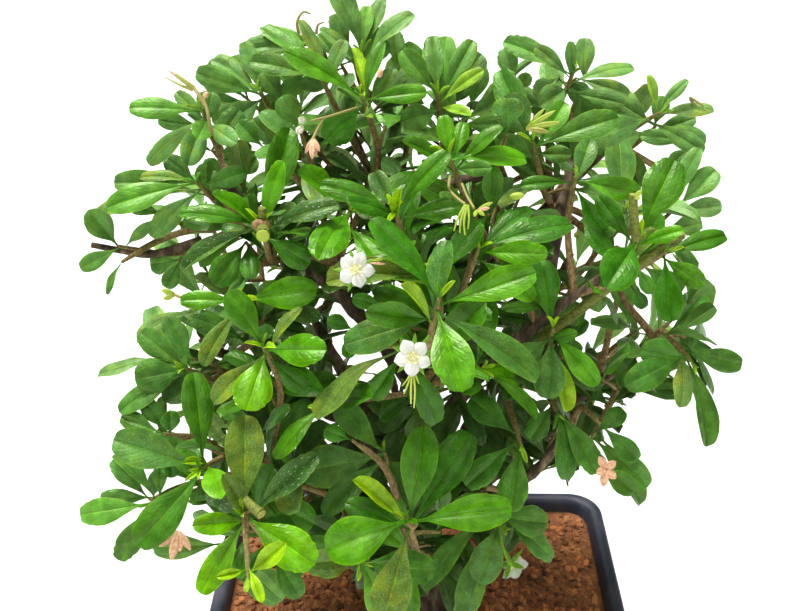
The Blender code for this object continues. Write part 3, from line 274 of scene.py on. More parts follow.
# Sprigs behind the shown shoots, in the same terms but unnamed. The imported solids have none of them.
SPRIGS = (
    ((118, 246, 330), (150, 252, 336), ((86, 208, 2, 32, "M"), (80, 268, 0, 20, "D"),
     (152, 225, 4, 12, "G"))),
    ((122, 262, 326), (138, 252, 330), ((108, 295, 2, 9, "D"),)),
    ((196, 182, 336), (214, 196, 342), ((114, 182, 0, 32, "M"), (166, 158, 0, 24, "G"))),
    ((246, 98, 354), (262, 112, 360), ((204, 66, 0, 38, "G"), (234, 54, 2, 30, "M"),
     (196, 100, 0, 24, "G"), (212, 122, 2, 28, "G"))),
    ((322, 46, 356), (330, 70, 361), ((238, 48, 0, 26, "M"), (262, 32, 0, 20, "B"),
     (300, 62, 2, 26, "G"))),
    ((340, 62, 352), (352, 84, 357), ((318, 34, 0, 18, "M"), (390, 44, 0, 26, "M"),
     (300, 84, 2, 30, "D"))),
    ((442, 96, 347), (446, 120, 353), ((404, 44, 0, 28, "M"), (446, 36, 0, 26, "B"),
     (482, 54, 2, 34, "G"), (424, 54, 4, 24, "D"), (474, 78, 4, 22, "M"))),
    ((462, 120, 338), (450, 136, 344), ((524, 88, 0, 46, "G"), (430, 86, 0, 24, "M"),
     (510, 124, 2, 26, "D"))),
    ((507, 134, 316), (500, 152, 322), ((508, 98, 0, 38, "G"),)),
    ((560, 76, 357), (548, 92, 361), ((536, 98, 2, 28, "G"), (590, 100, 0, 24, "D"))),
    ((576, 78, 354), (566, 90, 358), ((630, 94, 0, 22, "O"),)),
    ((656, 126, 351), (640, 140, 356), ((600, 104, 0, 36, "M"), (664, 96, 2, 22, "M"),
     (706, 142, 2, 28, "M"), (588, 146, 0, 40, "G"), (696, 118, 0, 20, "G"))),
    ((676, 208, 341), (660, 222, 346), ((716, 170, 0, 32, "M"), (722, 206, 2, 24, "G"),
     (700, 148, 0, 24, "D"))),
    ((556, 338, 335), (548, 358, 340), ((580, 303, 0, 28, "D"), (582, 352, 0, 18, "D"),
     (562, 296, 2, 24, "D"))),
    ((640, 264, 323), (628, 276, 327), ((682, 292, 0, 28, "D"), (652, 294, 2, 18, "D"))),
    ((150, 500, 333), (168, 492, 338), ((112, 460, 0, 24, "D"), (158, 470, 2, 18, "D"),
     (100, 498, 0, 22, "M"))),
    ((238, 470, 307), (246, 498, 311), ((214, 513, 0, 44, "S"),)),
    ((246, 242, 324), (256, 256, 329), ((222, 290, 0, 36, "M"), (252, 288, 2, 22, "D"))),
    ((178, 260, 337), (198, 256, 342), ((150, 264, 0, 26, "D"), (166, 288, 0, 22, "D"))),
    ((262, 498, 319), (262, 480, 324), ((314, 524, 0, 38, "M"), (284, 522, 0, 30, "G"))),
    ((692, 144, 350), (684, 160, 355), ((640, 136, 0, 18, "M"), (668, 168, 2, 20, "D"))),
    ((166, 216, 337), (182, 224, 342), ((126, 202, 0, 20, "M"), (134, 236, 2, 14, "D"))),
    ((470, 112, 348), (462, 128, 353), ((480, 64, 0, 28, "M"), (502, 94, 2, 24, "D"),
     (430, 104, 2, 24, "D"))),
    ((584, 86, 357), (578, 98, 361), ((585, 38, 0, 24, "M"),)),
    ((202, 126, 333), (214, 140, 338), ((158, 119, 0, 24, "M"), (212, 92, 2, 24, "D"))),
    ((516, 88, 355), (510, 104, 359), ((504, 48, 0, 26, "M"), (530, 74, 2, 18, "D"))),
    ((660, 232, 339), (648, 244, 344), ((702, 222, 0, 26, "M"),)),
    ((600, 424, 321), (588, 412, 326), ((638, 460, 0, 24, "D"),)),
    ((300, 132, 333), (308, 150, 338), ((282, 96, 2, 28, "M"),)),
    ((164, 434, 325), (184, 436, 330), ((120, 416, 0, 26, "M"), (172, 478, 2, 26, "D"),
     (170, 410, 2, 24, "D"))),
    ((566, 344, 335), (560, 360, 339), ((587, 320, 0, 17, "D"),)),
    ((352, 54, 357), (358, 74, 361), ((334, 14, 0, 24, "M"), (388, 30, 0, 24, "M"))),
    ((284, 102, 348), (294, 118, 352), ((262, 72, 2, 28, "M"),)),
    ((630, 284, 327), (622, 272, 331), ((645, 308, 0, 17, "D"),)),
    ((596, 462, 322), (590, 446, 326), ((634, 492, 0, 26, "M"),)),
    ((264, 148, 337), (272, 164, 341), ((238, 122, 2, 28, "D"), (224, 160, 2, 22, "D"))),
    ((388, 308, 303), (400, 316, 307), ((352, 298, 2, 20, "D"),)),
    ((398, 72, 356), (402, 88, 360), ((394, 30, 0, 24, "M"),)),
    ((236, 178, 338), (248, 192, 343), ((256, 158, 2, 24, "D"), (196, 162, 0, 26, "M"))),
    ((166, 432, 328), (186, 438, 332), ((144, 400, 2, 24, "D"),)),
    ((352, 440, 300), (366, 450, 304), ((324, 430, 2, 20, "D"),)),
    ((354, 330, 301), (368, 338, 305), ((328, 318, 2, 18, "D"), (346, 358, 2, 18, "D"))),
    ((212, 150, 340), (226, 166, 345), ((240, 110, 0, 28, "D"), (180, 134, 0, 24, "G"),
     (252, 146, 2, 24, "D"))),
)

# Thin stems and bare branches that no shoot makes: a skin, marks, and the radii at both ends in
# millimetres
LINES = (
    ("strand", ((412, 371, 271), (408, 384, 270), (404, 394, 270)), 0.30, 0.18),
    ("strand", ((412, 371, 271), (411, 388, 270), (411, 404, 269)), 0.34, 0.20),
    ("strand", ((413, 371, 271), (415, 390, 270), (414, 408, 269)), 0.30, 0.18),
    ("strand", ((414, 371, 271), (417, 379, 270), (419, 384, 270)), 0.28, 0.16),
    ("strand", ((412, 372, 271), (407, 380, 270), (402, 386, 271)), 0.26, 0.14),
    ("stalk", ((450, 176, 298), (449, 188, 290), (456, 197, 284), (465, 204, 281)), 0.36, 0.34),
    ("lime", ((465, 205, 281), (458, 218, 280), (454, 231, 280)), 0.34, 0.18),
    ("lime", ((466, 205, 281), (461, 220, 280), (460, 233, 280)), 0.38, 0.20),
    ("lime", ((467, 205, 281), (464, 222, 280), (465, 235, 280)), 0.38, 0.20),
    ("lime", ((468, 205, 281), (469, 218, 280), (468, 229, 280)), 0.34, 0.18),
    ("stalk", ((462, 184, 296), (467, 196, 288), (474, 208, 282)), 0.34, 0.32),
    ("stalk", ((205, 106, 322), (199, 95, 322), (193, 87, 323)), 0.55, 0.50),
    ("bud", ((194, 88, 323), (184, 81, 322), (176, 75, 322)), 0.70, 0.55),
    ("dried", ((177, 76, 322), (172, 73, 322), (168, 70, 322)), 0.50, 0.12),
    ("bud", ((193, 90, 323), (180, 85, 322), (165, 77, 322)), 0.55, 0.14),
    ("stalk", ((204, 98, 322), (208, 114, 321), (211, 134, 322)), 0.42, 0.60),
    ("stalk", ((356, 108, 316), (334, 115, 308), (311, 121, 304)), 0.42, 0.30),
    ("stalk", ((324, 118, 306), (318, 128, 305), (313, 139, 304)), 0.32, 0.45),
    ("stub", ((682, 235, 312), (648, 258, 312), (605, 290, 316), (566, 320, 324),
     (540, 338, 330)), 1.30, 1.70),
    ("stub", ((636, 240, 297), (634, 216, 295), (633, 195, 294)), 1.30, 1.15),
    ("stub", ((246, 500, 299), (254, 508, 296), (261, 514, 294)), 1.10, 1.45),
    ("stub", ((262, 222, 303), (262, 214, 300), (262, 208, 299)), 1.15, 1.05),
    ("stub", ((262, 224, 303), (263, 230, 299), (263, 235, 296)), 1.50, 1.85),
    ("bark", ((548, 334, 342), (548, 280, 340), (556, 232, 340), (567, 190, 342),
     (574, 160, 346)), 2.60, 1.90),
    ("bark", ((412, 196, 320), (450, 184, 318), (498, 172, 320)), 1.90, 1.40),
    ("bark", ((92, 245, 334), (124, 251, 333), (154, 254, 335), (202, 240, 338)), 0.85, 1.30),
    ("stalk", ((299, 34, 346), (297, 22, 345), (303, 12, 345), (311, 14, 345)), 0.55, 0.25),
    ("stalk", ((316, 34, 347), (318, 25, 346), (324, 22, 346)), 0.50, 0.22),
    ("stalk", ((188, 299, 318), (180, 297, 317), (173, 294, 317)), 0.45, 0.40),
    ("stalk", ((700, 112, 344), (690, 98, 343), (704, 106, 342)), 0.50, 0.35),
)

# Petals, sepals and scales of spent flowers: a skin, marks of base and tip, and width in pixels
SCALES = (
    ("dried", (178, 531, 318), (159, 547, 316), 9), ("dried", (178, 531, 318), (171, 561, 315), 11),
    ("dried", (179, 531, 318), (191, 551, 316), 8), ("dried", (179, 531, 319), (180, 552, 320), 8),
    ("dried", (606, 469, 317), (599, 456, 316), 10), ("dried", (606, 469, 317), (616, 461, 316), 10),
    ("dried", (606, 469, 317), (616, 479, 316), 10), ("dried", (606, 469, 317), (603, 487, 316), 10),
    ("dried", (606, 469, 317), (596, 474, 316), 10),
    ("dried", (313, 138, 304), (305, 154, 303), 6), ("dried", (313, 138, 304), (312, 160, 302), 8),
    ("dried", (313, 138, 304), (320, 152, 303), 6), ("dried", (314, 138, 304), (316, 157, 305), 6),
    ("lime", (477, 210, 282), (474, 217, 281), 5), ("lime", (477, 210, 282), (485, 216, 281), 5),
    ("dried", (477, 210, 282), (490, 208, 281), 5), ("lime", (477, 210, 282), (493, 202, 281), 5),
    ("lime", (372, 261, 276), (385, 258, 275), 4), ("dried", (370, 263, 276), (386, 264, 275), 3),
    ("lime", (175, 294, 317), (161, 290, 316), 7), ("strand", (175, 295, 317), (163, 299, 316), 7),
    ("lime", (526, 128, 313), (556, 110, 311), 6), ("strand", (526, 128, 313), (561, 122, 311), 7),
    ("bud", (526, 129, 313), (550, 132, 311), 7), ("lime", (527, 127, 313), (545, 108, 312), 5),
    ("lime", (634, 198, 293), (642, 190, 292), 6), ("lime", (634, 198, 293), (641, 198, 292), 5),
    ("white", (306, 122, 305), (298, 118, 304), 10), ("white", (303, 126, 305), (296, 134, 304), 9),
)

# Buds, knobs and cut ends: a skin, the centre's mark, which way it points as shares of right, up
# and ahead in the reference view, and its half sizes in millimetres
EGGS = (
    ("lime", (517, 196, 290), (1.0, 0.05, -0.3), 1.0, 1.9),
    ("dried", (206, 95, 321), (0.3, 1.0, 0.0), 0.8, 1.0),
    ("dried", (380, 73, 306), (0.2, 1.0, 0.0), 0.8, 1.3),
    ("cut", (261.5, 514.5, 293.7), (0.6, -0.5, -0.6), 1.35, 0.2),
    ("lime", (263, 236, 295.6), (0.0, -0.45, -0.9), 1.8, 0.35),
    ("cut", (633, 194.5, 293.8), (0.0, 0.9, -0.4), 1.05, 0.2),
    ("cut", (683, 234, 311.6), (0.8, 0.5, -0.3), 1.25, 0.5),
    ("twig", (261, 225, 301), (0.0, 1.0, 0.0), 2.6, 1.7),
    ("twig", (413, 524, 298.5), (0.2, 1.0, 0.0), 1.2, 1.6),
    ("cut", (577, 235, 337), (0.0, 0.2, -1.0), 1.0, 0.4),
)

# Flowers: the centre's mark, which way each looks, as shares of ahead, right and up in the
# reference view, and its turn in degrees. The lowest one nods away from the eye.
FLOWERS = (
    Flower("flower_left", "shoot_centre_behind", (356, 270, 276), (-1.0, 0.05, 0.05), 32),
    Flower("flower_middle", "shoot_centre", (413, 357, 271), (-1.0, 0.0, -0.1), 12),
    Flower("flower_low", "shoot_front_right", (513, 566, 327), (0.55, 0.45, -0.55), 17),
)

# The trunk and the main branches that leave it: the points they pass and their radii, in millimetres
TRUNK = ((0, 0, 92), (0, 0, 113), (1.5, 1, 124), (-2.5, 3, 142), (2, 2, 160), (5, 5, 186),
         (1, 9, 212), (-1, 12, 240), (-6, 13, 266))
TRUNK_RADII = (8.8, 8.8, 7.9, 6.9, 6.6, 5.6, 4.2, 3.0, 1.8)
BRANCHES = {
    "front_low": ((-2, 3, 146), (-3, -18, 163), (-4, -40, 184), (-4, -56, 202)),
    "front_left": ((0, 3, 153), (-18, -12, 176), (-34, -30, 196), (-45, -44, 208)),
    "left": ((3, 4, 172), (-24, 2, 200), (-48, -8, 222), (-66, -16, 240)),
    "front_high": ((5, 5, 182), (3, -14, 214), (5, -34, 242), (5, -50, 262)),
    "front_right": ((1, 3, 156), (18, -14, 178), (34, -30, 202), (44, -34, 222)),
    "right_high": ((4, 6, 190), (16, -14, 224), (33, -28, 252), (52, -34, 272)),
    "right": ((3, 3, 166), (30, -4, 196), (54, -14, 224), (68, -22, 244)),
    "left_high": ((2, 8, 204), (-18, 2, 238), (-38, -6, 264), (-56, -4, 284)),
    "right_top": ((1, 10, 216), (18, 10, 246), (40, 14, 272), (58, 18, 290)),
    "back_left": ((2, 4, 168), (-20, 26, 192), (-38, 46, 216), (-50, 58, 234)),
    "back": ((4, 6, 186), (1, 30, 214), (-5, 44, 236), (-9, 53, 250)),
    "back_right": ((3, 4, 170), (24, 24, 196), (42, 42, 220), (54, 54, 238)),
    "back_low": ((0, 3, 152), (-4, 26, 166), (-8, 48, 180), (-12, 64, 194)),
    "right_back": ((2, 3, 158), (28, 12, 174), (50, 20, 190), (68, 26, 206)),
    "left_back": ((0, 3, 155), (-28, 12, 172), (-50, 18, 190), (-68, 22, 208)),
}
BRANCH_RADII = (3.3, 2.4, 1.8, 1.3)

# Nudges tried in turn for a leaf, as shares of its length: along its upper face, and sideways
NUDGES = ((0, 0), (0.10, 0), (-0.10, 0), (0.20, 0), (-0.20, 0), (0.32, 0), (-0.32, 0),
          (0, 0.15), (0, -0.15), (0.20, 0.18), (0.20, -0.18), (-0.20, 0.18), (-0.20, -0.18),
          (0.45, 0), (-0.45, 0), (0.15, 0.35), (0.15, -0.35), (-0.3, 0.35), (-0.3, -0.35),
          (0.6, 0.2), (0.6, -0.2))


def seen_at(mark):
    """The point at a mark's distance along the line of sight through its pixel."""
    across, down, depth = mark
    right = (across - VIEW_MIDDLE[0]) / VIEW_SCALE
    above = (VIEW_MIDDLE[1] - down) / VIEW_SCALE
    return EYE + (VIEW_AHEAD + VIEW_RIGHT * right + VIEW_UP * above) * depth * MM


def pixel_of(place):
    """Where the reference view shows a point."""
    ray = place - EYE
    depth = ray.dot(VIEW_AHEAD)
    return (VIEW_MIDDLE[0] + ray.dot(VIEW_RIGHT) / depth * VIEW_SCALE,
            VIEW_MIDDLE[1] - ray.dot(VIEW_UP) / depth * VIEW_SCALE)


# Where shoots, leaves and twigs stand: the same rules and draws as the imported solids

def frame_of(blade):
    """A blade's axis and its upper face's direction, at right angles."""
    axis = (blade.tip - blade.base).normalized()
    return axis, (blade.up - axis * blade.up.dot(axis)).normalized()


def nudged(blade, raised, aside):
    chord = blade.tip - blade.base
    axis, up = frame_of(blade)
    moved = chord + (up * raised + axis.cross(up) * aside) * chord.length
    return blade._replace(tip=blade.base + moved.normalized() * chord.length)


def blade_in_view(base, depth, leaf):
    """A blade whose outline falls where the leaf is seen, turned to show its seen width."""
    across, down, near, wide, age = leaf
    tip = seen_at((across, down, depth - near))
    chord = tip - base
    axis = chord.normalized()
    seen_width = wide * depth * MM / VIEW_SCALE
    width = max(seen_width, LEAST_WIDTH_RATIO * chord.length)
    facing = EYE - base
    facing = (facing - axis * facing.dot(axis)).normalized()
    roll = math.acos(min(1.0, seen_width / width)) * 0.8
    turned = [Matrix.Rotation(way * roll, 3, axis) @ facing for way in (1, -1)]
    up = max(turned, key=lambda way: way.z)
    return Blade(base, tip, up, width, AGES[age].arch, AGES[age].fold, age)


def shown_spray(name, seat_mark, foot_mark, leaves):
    seat = seen_at(seat_mark)
    foot = seen_at(foot_mark)
    stem_way = (seat - foot).normalized()
    blades = [blade_in_view(seat - stem_way * LEAF_STEP * order, seat_mark[2], leaf)
              for order, leaf in enumerate(leaves)]
    return Spray(name, [foot, seat], blades)


def whorl(seat, stem_way, count, draw):
    """Leaves of the rule: an end whorl that runs a little way down its stem."""
    blades = []
    spin = draw.uniform(0, 2 * math.pi)
    first = stem_way.orthogonal().normalized()
    for order in range(count):
        spin += LEAF_TURN
        lean = math.radians(draw.uniform(54, 74) + 4 * order)
        sideways = Matrix.Rotation(spin, 3, stem_way) @ first
        way = (stem_way * math.cos(lean) + sideways * math.sin(lean) + UP * 0.12).normalized()
        length = draw.uniform(0.020, 0.0265)
        base = seat - stem_way * LEAF_STEP * 1.7 * order
        up = (stem_way * 0.8 + UP * 0.7 - sideways * 0.2).normalized()
        age = draw.choice("BBMMMDDGO")
        blades.append(Blade(base, base + way * length, up, length * draw.uniform(0.38, 0.47),
                            AGES[age].arch, AGES[age].fold, age))
    return blades


def crown_seats(taken):
    """Places over the top, sides and back, evenly spread and clear of the shown shoots."""
    draw = random.Random(CROWN_SEED)
    golden = math.pi * (3 - math.sqrt(5))
    places = []
    for order in range(CROWN_POINTS):
        height = 0.99 - (0.99 - CROWN_LOWEST) * order / (CROWN_POINTS - 1)
        level = math.sqrt(1 - height ** 2)
        outward = Vector((level * math.cos(golden * order), level * math.sin(golden * order), height))
        seat = CROWN_MIDDLE + Vector(a * b for a, b in zip(outward, CROWN_REACH))
        seat += outward * draw.uniform(-0.005, 0.005)
        if min((seat - other).length for other in taken) > CROWN_CLEARANCE:
            places.append((seat, outward))
    return places


def crown_sprays(taken):
    """Forked shoots of the rule, each with a whorl at two neighbouring places."""
    draw = random.Random(CROWN_SEED + 1)
    left = crown_seats(taken)
    sprays = []
    while left and len(sprays) < CROWN_SHOOTS:
        seat, outward = left.pop(0)
        name = f"shoot_crown_{len(sprays) + 1:02d}"
        pair = [(seat, outward)]
        near = min(left, key=lambda place: (place[0] - seat).length, default=None)
        if near and (near[0] - seat).length < CROWN_FORK_REACH:
            left.remove(near)
            pair.append(near)
        middle = sum((place[0] for place in pair), Vector()) / len(pair)
        inward = -(pair[0][1] + pair[-1][1] + UP * 0.5).normalized()
        fork = middle + inward * CROWN_STEM
        stems = [Spray(name, [fork + inward * CROWN_STUB, fork], [])]
        for (seat, _), count in zip(pair, CROWN_LEAVES):
            stem_way = (seat - fork).normalized()
            stems.append(Spray(name, [fork, seat], whorl(seat, stem_way, count, draw)))
        sprays.append(stems)
    return [spray for stems in sprays for spray in stems]


def smooth_line(points, parts=3):
    """Points of a Catmull-Rom curve through the given points."""
    line = []
    ends = [points[0] * 2 - points[1]] + list(points) + [points[-1] * 2 - points[-2]]
    for a, b, c, d in zip(ends, ends[1:], ends[2:], ends[3:]):
        for part in range(parts):
            t = part / parts
            line.append(0.5 * ((2 * b) + (c - a) * t + (2 * a - 5 * b + 4 * c - d) * t ** 2
                               + (3 * b - a - 3 * c + d) * t ** 3))
    line.append(points[-1])
    return line


def smooth_values(values, parts=3):
    line = []
    for low, high in zip(values, values[1:]):
        line += [low + (high - low) * part / parts for part in range(parts)]
    return line + [values[-1]]


def bezier(start, first, second, end, parts):
    line = []
    for part in range(parts + 1):
        t = part / parts
        line.append(start * (1 - t) ** 3 + first * 3 * t * (1 - t) ** 2
                    + second * 3 * t ** 2 * (1 - t) + end * t ** 3)
    return line


def shares_of(line):
    """How far along a line each of its points stands, from 0 to 1."""
    return [step / (len(line) - 1) for step in range(len(line))]


def branch_tubes(parts):
    tubes = []
    for knots in BRANCHES.values():
        points = [Vector(knot) * MM for knot in knots]
        radii = [radius * MM for radius in BRANCH_RADII]
        tubes.append(Tube(smooth_line(points, parts), smooth_values(radii, parts), 0.0))
    return tubes


def clamped(value):
    return max(0.0, min(1.0, value))


def off_segment(place, start, end):
    """Distance from a point to a straight stretch."""
    span = end - start
    share = clamped((place - start).dot(span) / span.length_squared)
    return (place - start - span * share).length


def twig_line(start, foot, way, lift, parts=2):
    end = foot - way * TWIG_STRAIGHT
    span = (end - start).length
    return bezier(start, start + (end - start) * 0.3 + UP * span * lift, end - way * span * 0.4,
                  end, parts)


def twig_tube(spray, branches, stretches):
    """A twig from the branch point that suits a spray best, clear of every other stem."""
    foot, seat = spray.stem
    way = (seat - foot).normalized()

    def cost(place):
        reach = foot - place
        return reach.length * (1.6 - reach.normalized().dot(way)) + max(0.0, 0.010 - reach.length) * 9

    def clearance(line):
        inner = [a.lerp(b, share) for a, b in zip(line, line[1:]) for share in (0.0, 0.33, 0.67)]
        return min(off_segment(place, start, end) for place in inner
                   for name, start, end in stretches if name != spray.name)

    starts = sorted((point for tube in branches for point in tube.points[2:]), key=cost)
    trials = [(start, lift) for start in starts[:14] for lift in (0.05, 0.2, -0.15)]
    lines = [twig_line(start, foot, way, lift) + [foot - way * 0.0004] for start, lift in trials]
    clear = [trial for trial, line in zip(trials, lines) if clearance(line) > TWIG_CLEARANCE]
    best = clear[0] if clear else max(zip(trials, lines), key=lambda pair: clearance(pair[1]))[0]
    line = twig_line(best[0], foot, way, best[1], 8) + [foot + way * 0.0004]
    shares = shares_of(line)
    return Tube(line, [TWIG_RADIUS * (1.3 - 0.3 * share) for share in shares],
                [0.25 * share for share in shares])


def flower_frame(flower):
    centre = seen_at(flower.centre)
    ahead, right, up = flower.facing
    facing = (VIEW_AHEAD * ahead + VIEW_RIGHT * right + VIEW_UP * up).normalized()
    side = facing.cross(UP).normalized()
    return centre, facing, side


def flower_stalk(flower, stem):
    """The stalk that carries a flower, from the stem of its shoot to the calyx."""
    centre, facing, _ = flower_frame(flower)
    back = centre - facing * CALYX_BEHIND
    foot = min((stem[0].lerp(stem[1], share) for share in (0.35, 0.5, 0.65, 0.8)),
               key=lambda place: (place - back).length)
    bend = back - facing * (foot - back).length * 0.35
    return bezier(foot, foot.lerp(bend, 0.5), bend, back + facing * 0.0001, 8)


# Node trees

class Value:
    """A node socket that Python sums can use: each sum adds the node that works it out."""

    def __init__(self, graph, socket):
        self.graph = graph
        self.socket = socket

    def __add__(self, other):
        return maths("ADD", self, other)

    def __radd__(self, other):
        return maths("ADD", other, self)

    def __sub__(self, other):
        return maths("SUBTRACT", self, other)

    def __rsub__(self, other):
        return maths("SUBTRACT", other, self)

    def __mul__(self, other):
        return maths("MULTIPLY", self, other)

    def __rmul__(self, other):
        return maths("MULTIPLY", other, self)

    def __truediv__(self, other):
        return maths("DIVIDE", self, other)

    def __rtruediv__(self, other):
        return maths("DIVIDE", other, self)

    def __pow__(self, other):
        return maths("POWER", self, other)

    def __abs__(self):
        return maths("ABSOLUTE", self)

    def out(self, name):
        """Another output of the same node."""
        return Value(self.graph, first_socket(self.socket.node.outputs, name))

    def between(self, low, high):
        """0 up to low, 1 from high on, and smooth in between."""
        return self.graph.add("ShaderNodeMapRange", {"Value": self, "From Min": low, "From Max": high},
                              interpolation_type="SMOOTHSTEP")


def first_socket(sockets, name):
    for socket in sockets:
        if socket.enabled and name in (socket.name, socket.identifier):
            return socket
    raise KeyError(name)


def is_vector(term):
    if isinstance(term, Value):
        return term.socket.type in {"VECTOR", "RGBA"}
    return not isinstance(term, (int, float))


def maths(operation, *terms):
    """A Math node, or a Vector Math node where a term is a vector or a colour."""
    graph = next(term.graph for term in terms if isinstance(term, Value))
    if any(is_vector(term) for term in terms):
        node = graph.tree.nodes.new("ShaderNodeVectorMath")
        terms = [(term,) * 3 if isinstance(term, (int, float)) else term for term in terms]
    else:
        node = graph.tree.nodes.new("ShaderNodeMath")
    node.operation = operation
    for socket, term in zip(node.inputs, terms):
        graph.feed(socket, term)
    return Value(graph, next(socket for socket in node.outputs if socket.enabled))


class Graph:
    """Adds nodes to one tree."""

    def __init__(self, tree):
        self.tree = tree

    def feed(self, socket, value):
        if isinstance(value, Value):
            self.tree.links.new(value.socket, socket)
        elif isinstance(value, tuple) and socket.type == "RGBA" and len(value) == 3:
            socket.default_value = (*value, 1.0)
        else:
            socket.default_value = value

    def add(self, kind, sockets=None, **settings):
        """A node of a type, with the values or links of its sockets, and its settings."""
        node = self.tree.nodes.new(kind)
        for name, value in settings.items():
            if name == "stops":
                stops = node.color_ramp.elements
                for place, _ in value[2:]:
                    stops.new(place)
                for number, (place, colour) in enumerate(value):
                    stops[number].position = place
                    stops[number].color = (*colour, 1.0)
            else:
                setattr(node, name, value)
        for name, value in (sockets or {}).items():
            if isinstance(value, list):
                for item in value:
                    self.feed(first_socket(node.inputs, name), item)
            else:
                self.feed(first_socket(node.inputs, name), value)
        outputs = [socket for socket in node.outputs if socket.enabled]
        return Value(self, outputs[0]) if outputs else None

    def mix(self, factor, first, second):
        return self.add("ShaderNodeMix", {"Factor": factor, "A": first, "B": second}, data_type="RGBA")

    def split(self, vector):
        """The parts of a vector, as outputs X, Y and Z."""
        return self.add("ShaderNodeSeparateXYZ", {"Vector": vector})

    def joined(self, **parts):
        return self.add("ShaderNodeCombineXYZ", parts)


class Shader(Graph):
    """A material's nodes round its Principled shader."""

    def __init__(self, name):
        self.material = bpy.data.materials.new(name)
        self.material.use_nodes = True
        super().__init__(self.material.node_tree)
        self.principled = self.tree.nodes["Principled BSDF"]

    def place(self):
        """The object's own coordinates."""
        return self.add("ShaderNodeTexCoord").out("Object")

    def blade_place(self):
        """A blade's own coordinates: -1 to 1 across it and 0 to 1 along it."""
        map_place = self.split(self.add("ShaderNodeUVMap", uv_map="UVMap"))
        return map_place.out("X") * 2 - 1, map_place.out("Y")

    def noise(self, scale, detail=3.0, stretch=None):
        """Noise on the object's own coordinates, in waves per metre."""
        place = self.place()
        if stretch:
            place = place * stretch
        return self.add("ShaderNodeTexNoise", {"Vector": place, "Scale": scale, "Detail": detail,
                                               "Roughness": 0.55})

    def ramp(self, pick, *stops):
        return self.add("ShaderNodeValToRGB", {"Fac": pick}, stops=stops)

    def attribute(self, name, output="Fac"):
        return self.add("ShaderNodeAttribute", attribute_name=name).out(output)

    def bump(self, height, distance):
        return self.add("ShaderNodeBump", {"Height": height, "Distance": distance, "Strength": 1.0})

    def finish(self, **sockets):
        for name, value in sockets.items():
            self.feed(self.principled.inputs[name.replace("_", " ").title().replace("Ior", "IOR")], value)
        return self.material


class Shape(Graph):
    """A Geometry Nodes tree with named inputs, which ends in realized instances and a material."""

    def __init__(self, name, inputs):
        super().__init__(bpy.data.node_groups.new(name, "GeometryNodeTree"))
        face = self.tree.interface
        face.new_socket("Geometry", in_out="INPUT", socket_type="NodeSocketGeometry")
        for label, (kind, value) in inputs.items():
            socket = face.new_socket(label, in_out="INPUT", socket_type="NodeSocket" + kind)
            if value is not None:
                socket.default_value = value
        face.new_socket("Geometry", in_out="OUTPUT", socket_type="NodeSocketGeometry")
        self.given = self.tree.nodes.new("NodeGroupInput")

    def input(self, name):
        return Value(self, self.given.outputs[name])

    def named(self, name, kind="FLOAT"):
        return self.add("GeometryNodeInputNamedAttribute", {"Name": name}, data_type=kind)

    def store(self, geometry, name, value, domain="POINT", kind="FLOAT"):
        sockets = {"Geometry": geometry, "Name": name, "Value": value}
        return self.add("GeometryNodeStoreNamedAttribute", sockets, data_type=kind, domain=domain)

    def move(self, geometry, place=None, offset=None):
        sockets = {"Geometry": geometry}
        if place is not None:
            sockets["Position"] = place
        if offset is not None:
            sockets["Offset"] = offset
        return self.add("GeometryNodeSetPosition", sockets)

    def end(self, geometry, material):
        whole = self.add("GeometryNodeRealizeInstances", {"Geometry": geometry})
        whole = self.add("GeometryNodeSetMaterial", {"Geometry": whole, "Material": material})
        last = self.tree.nodes.new("NodeGroupOutput")
        self.tree.links.new(whole.socket, last.inputs["Geometry"])
        return self.tree


def grow(thing, tree, values):
    """Put a thing through a tree and leave it as a plain mesh."""
    maker = thing.modifiers.new(tree.name, "NODES")
    maker.node_group = tree
    for socket in tree.interface.items_tree:
        if socket.item_type == "SOCKET" and socket.in_out == "INPUT" and socket.name in values:
            maker[socket.identifier] = values[socket.name]
    return plain_mesh(thing)


def plain_mesh(thing):
    """Leave a thing with the mesh that its modifiers make of it."""
    graph = bpy.context.evaluated_depsgraph_get()
    mesh = bpy.data.meshes.new_from_object(thing.evaluated_get(graph), preserve_all_data_layers=True,
                                           depsgraph=graph)
    thing.modifiers.clear()
    old = thing.data
    thing.data = mesh
    mesh.name = thing.name
    bpy.data.meshes.remove(old)
    return thing


def smooth_faces(mesh):
    for face in mesh.polygons:
        face.use_smooth = True


def tint(*screen):
    """A colour given as 0-255 screen values, as the light values that Blender uses."""
    shares = [value / 255 for value in screen]
    return tuple(share / 12.92 if share <= 0.04045 else ((share + 0.055) / 1.055) ** 2.4
                 for share in shares)


def mesh_object(name, points, faces, edges=()):
    mesh = bpy.data.meshes.new(name)
    mesh.from_pydata([tuple(point) for point in points], list(edges), faces)
    mesh.update()
    thing = bpy.data.objects.new(name, mesh)
    bpy.context.scene.collection.objects.link(thing)
    return thing


def set_attribute(mesh, name, values, kind="FLOAT"):
    layer = mesh.attributes.new(name, kind, "POINT")
    if kind == "FLOAT":
        layer.data.foreach_set("value", values)
    else:
        part = "vector" if kind == "FLOAT_VECTOR" else "color"
        layer.data.foreach_set(part, [number for value in values for number in value])


def declare(thing, slot, *nodes):
    """Attach a finished piece to the root body and hide the imported nodes that it stands for. The slot
    is not used.
    """
    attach(thing, "root")
    if nodes:
        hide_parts(*nodes)


# Geometry Nodes trees

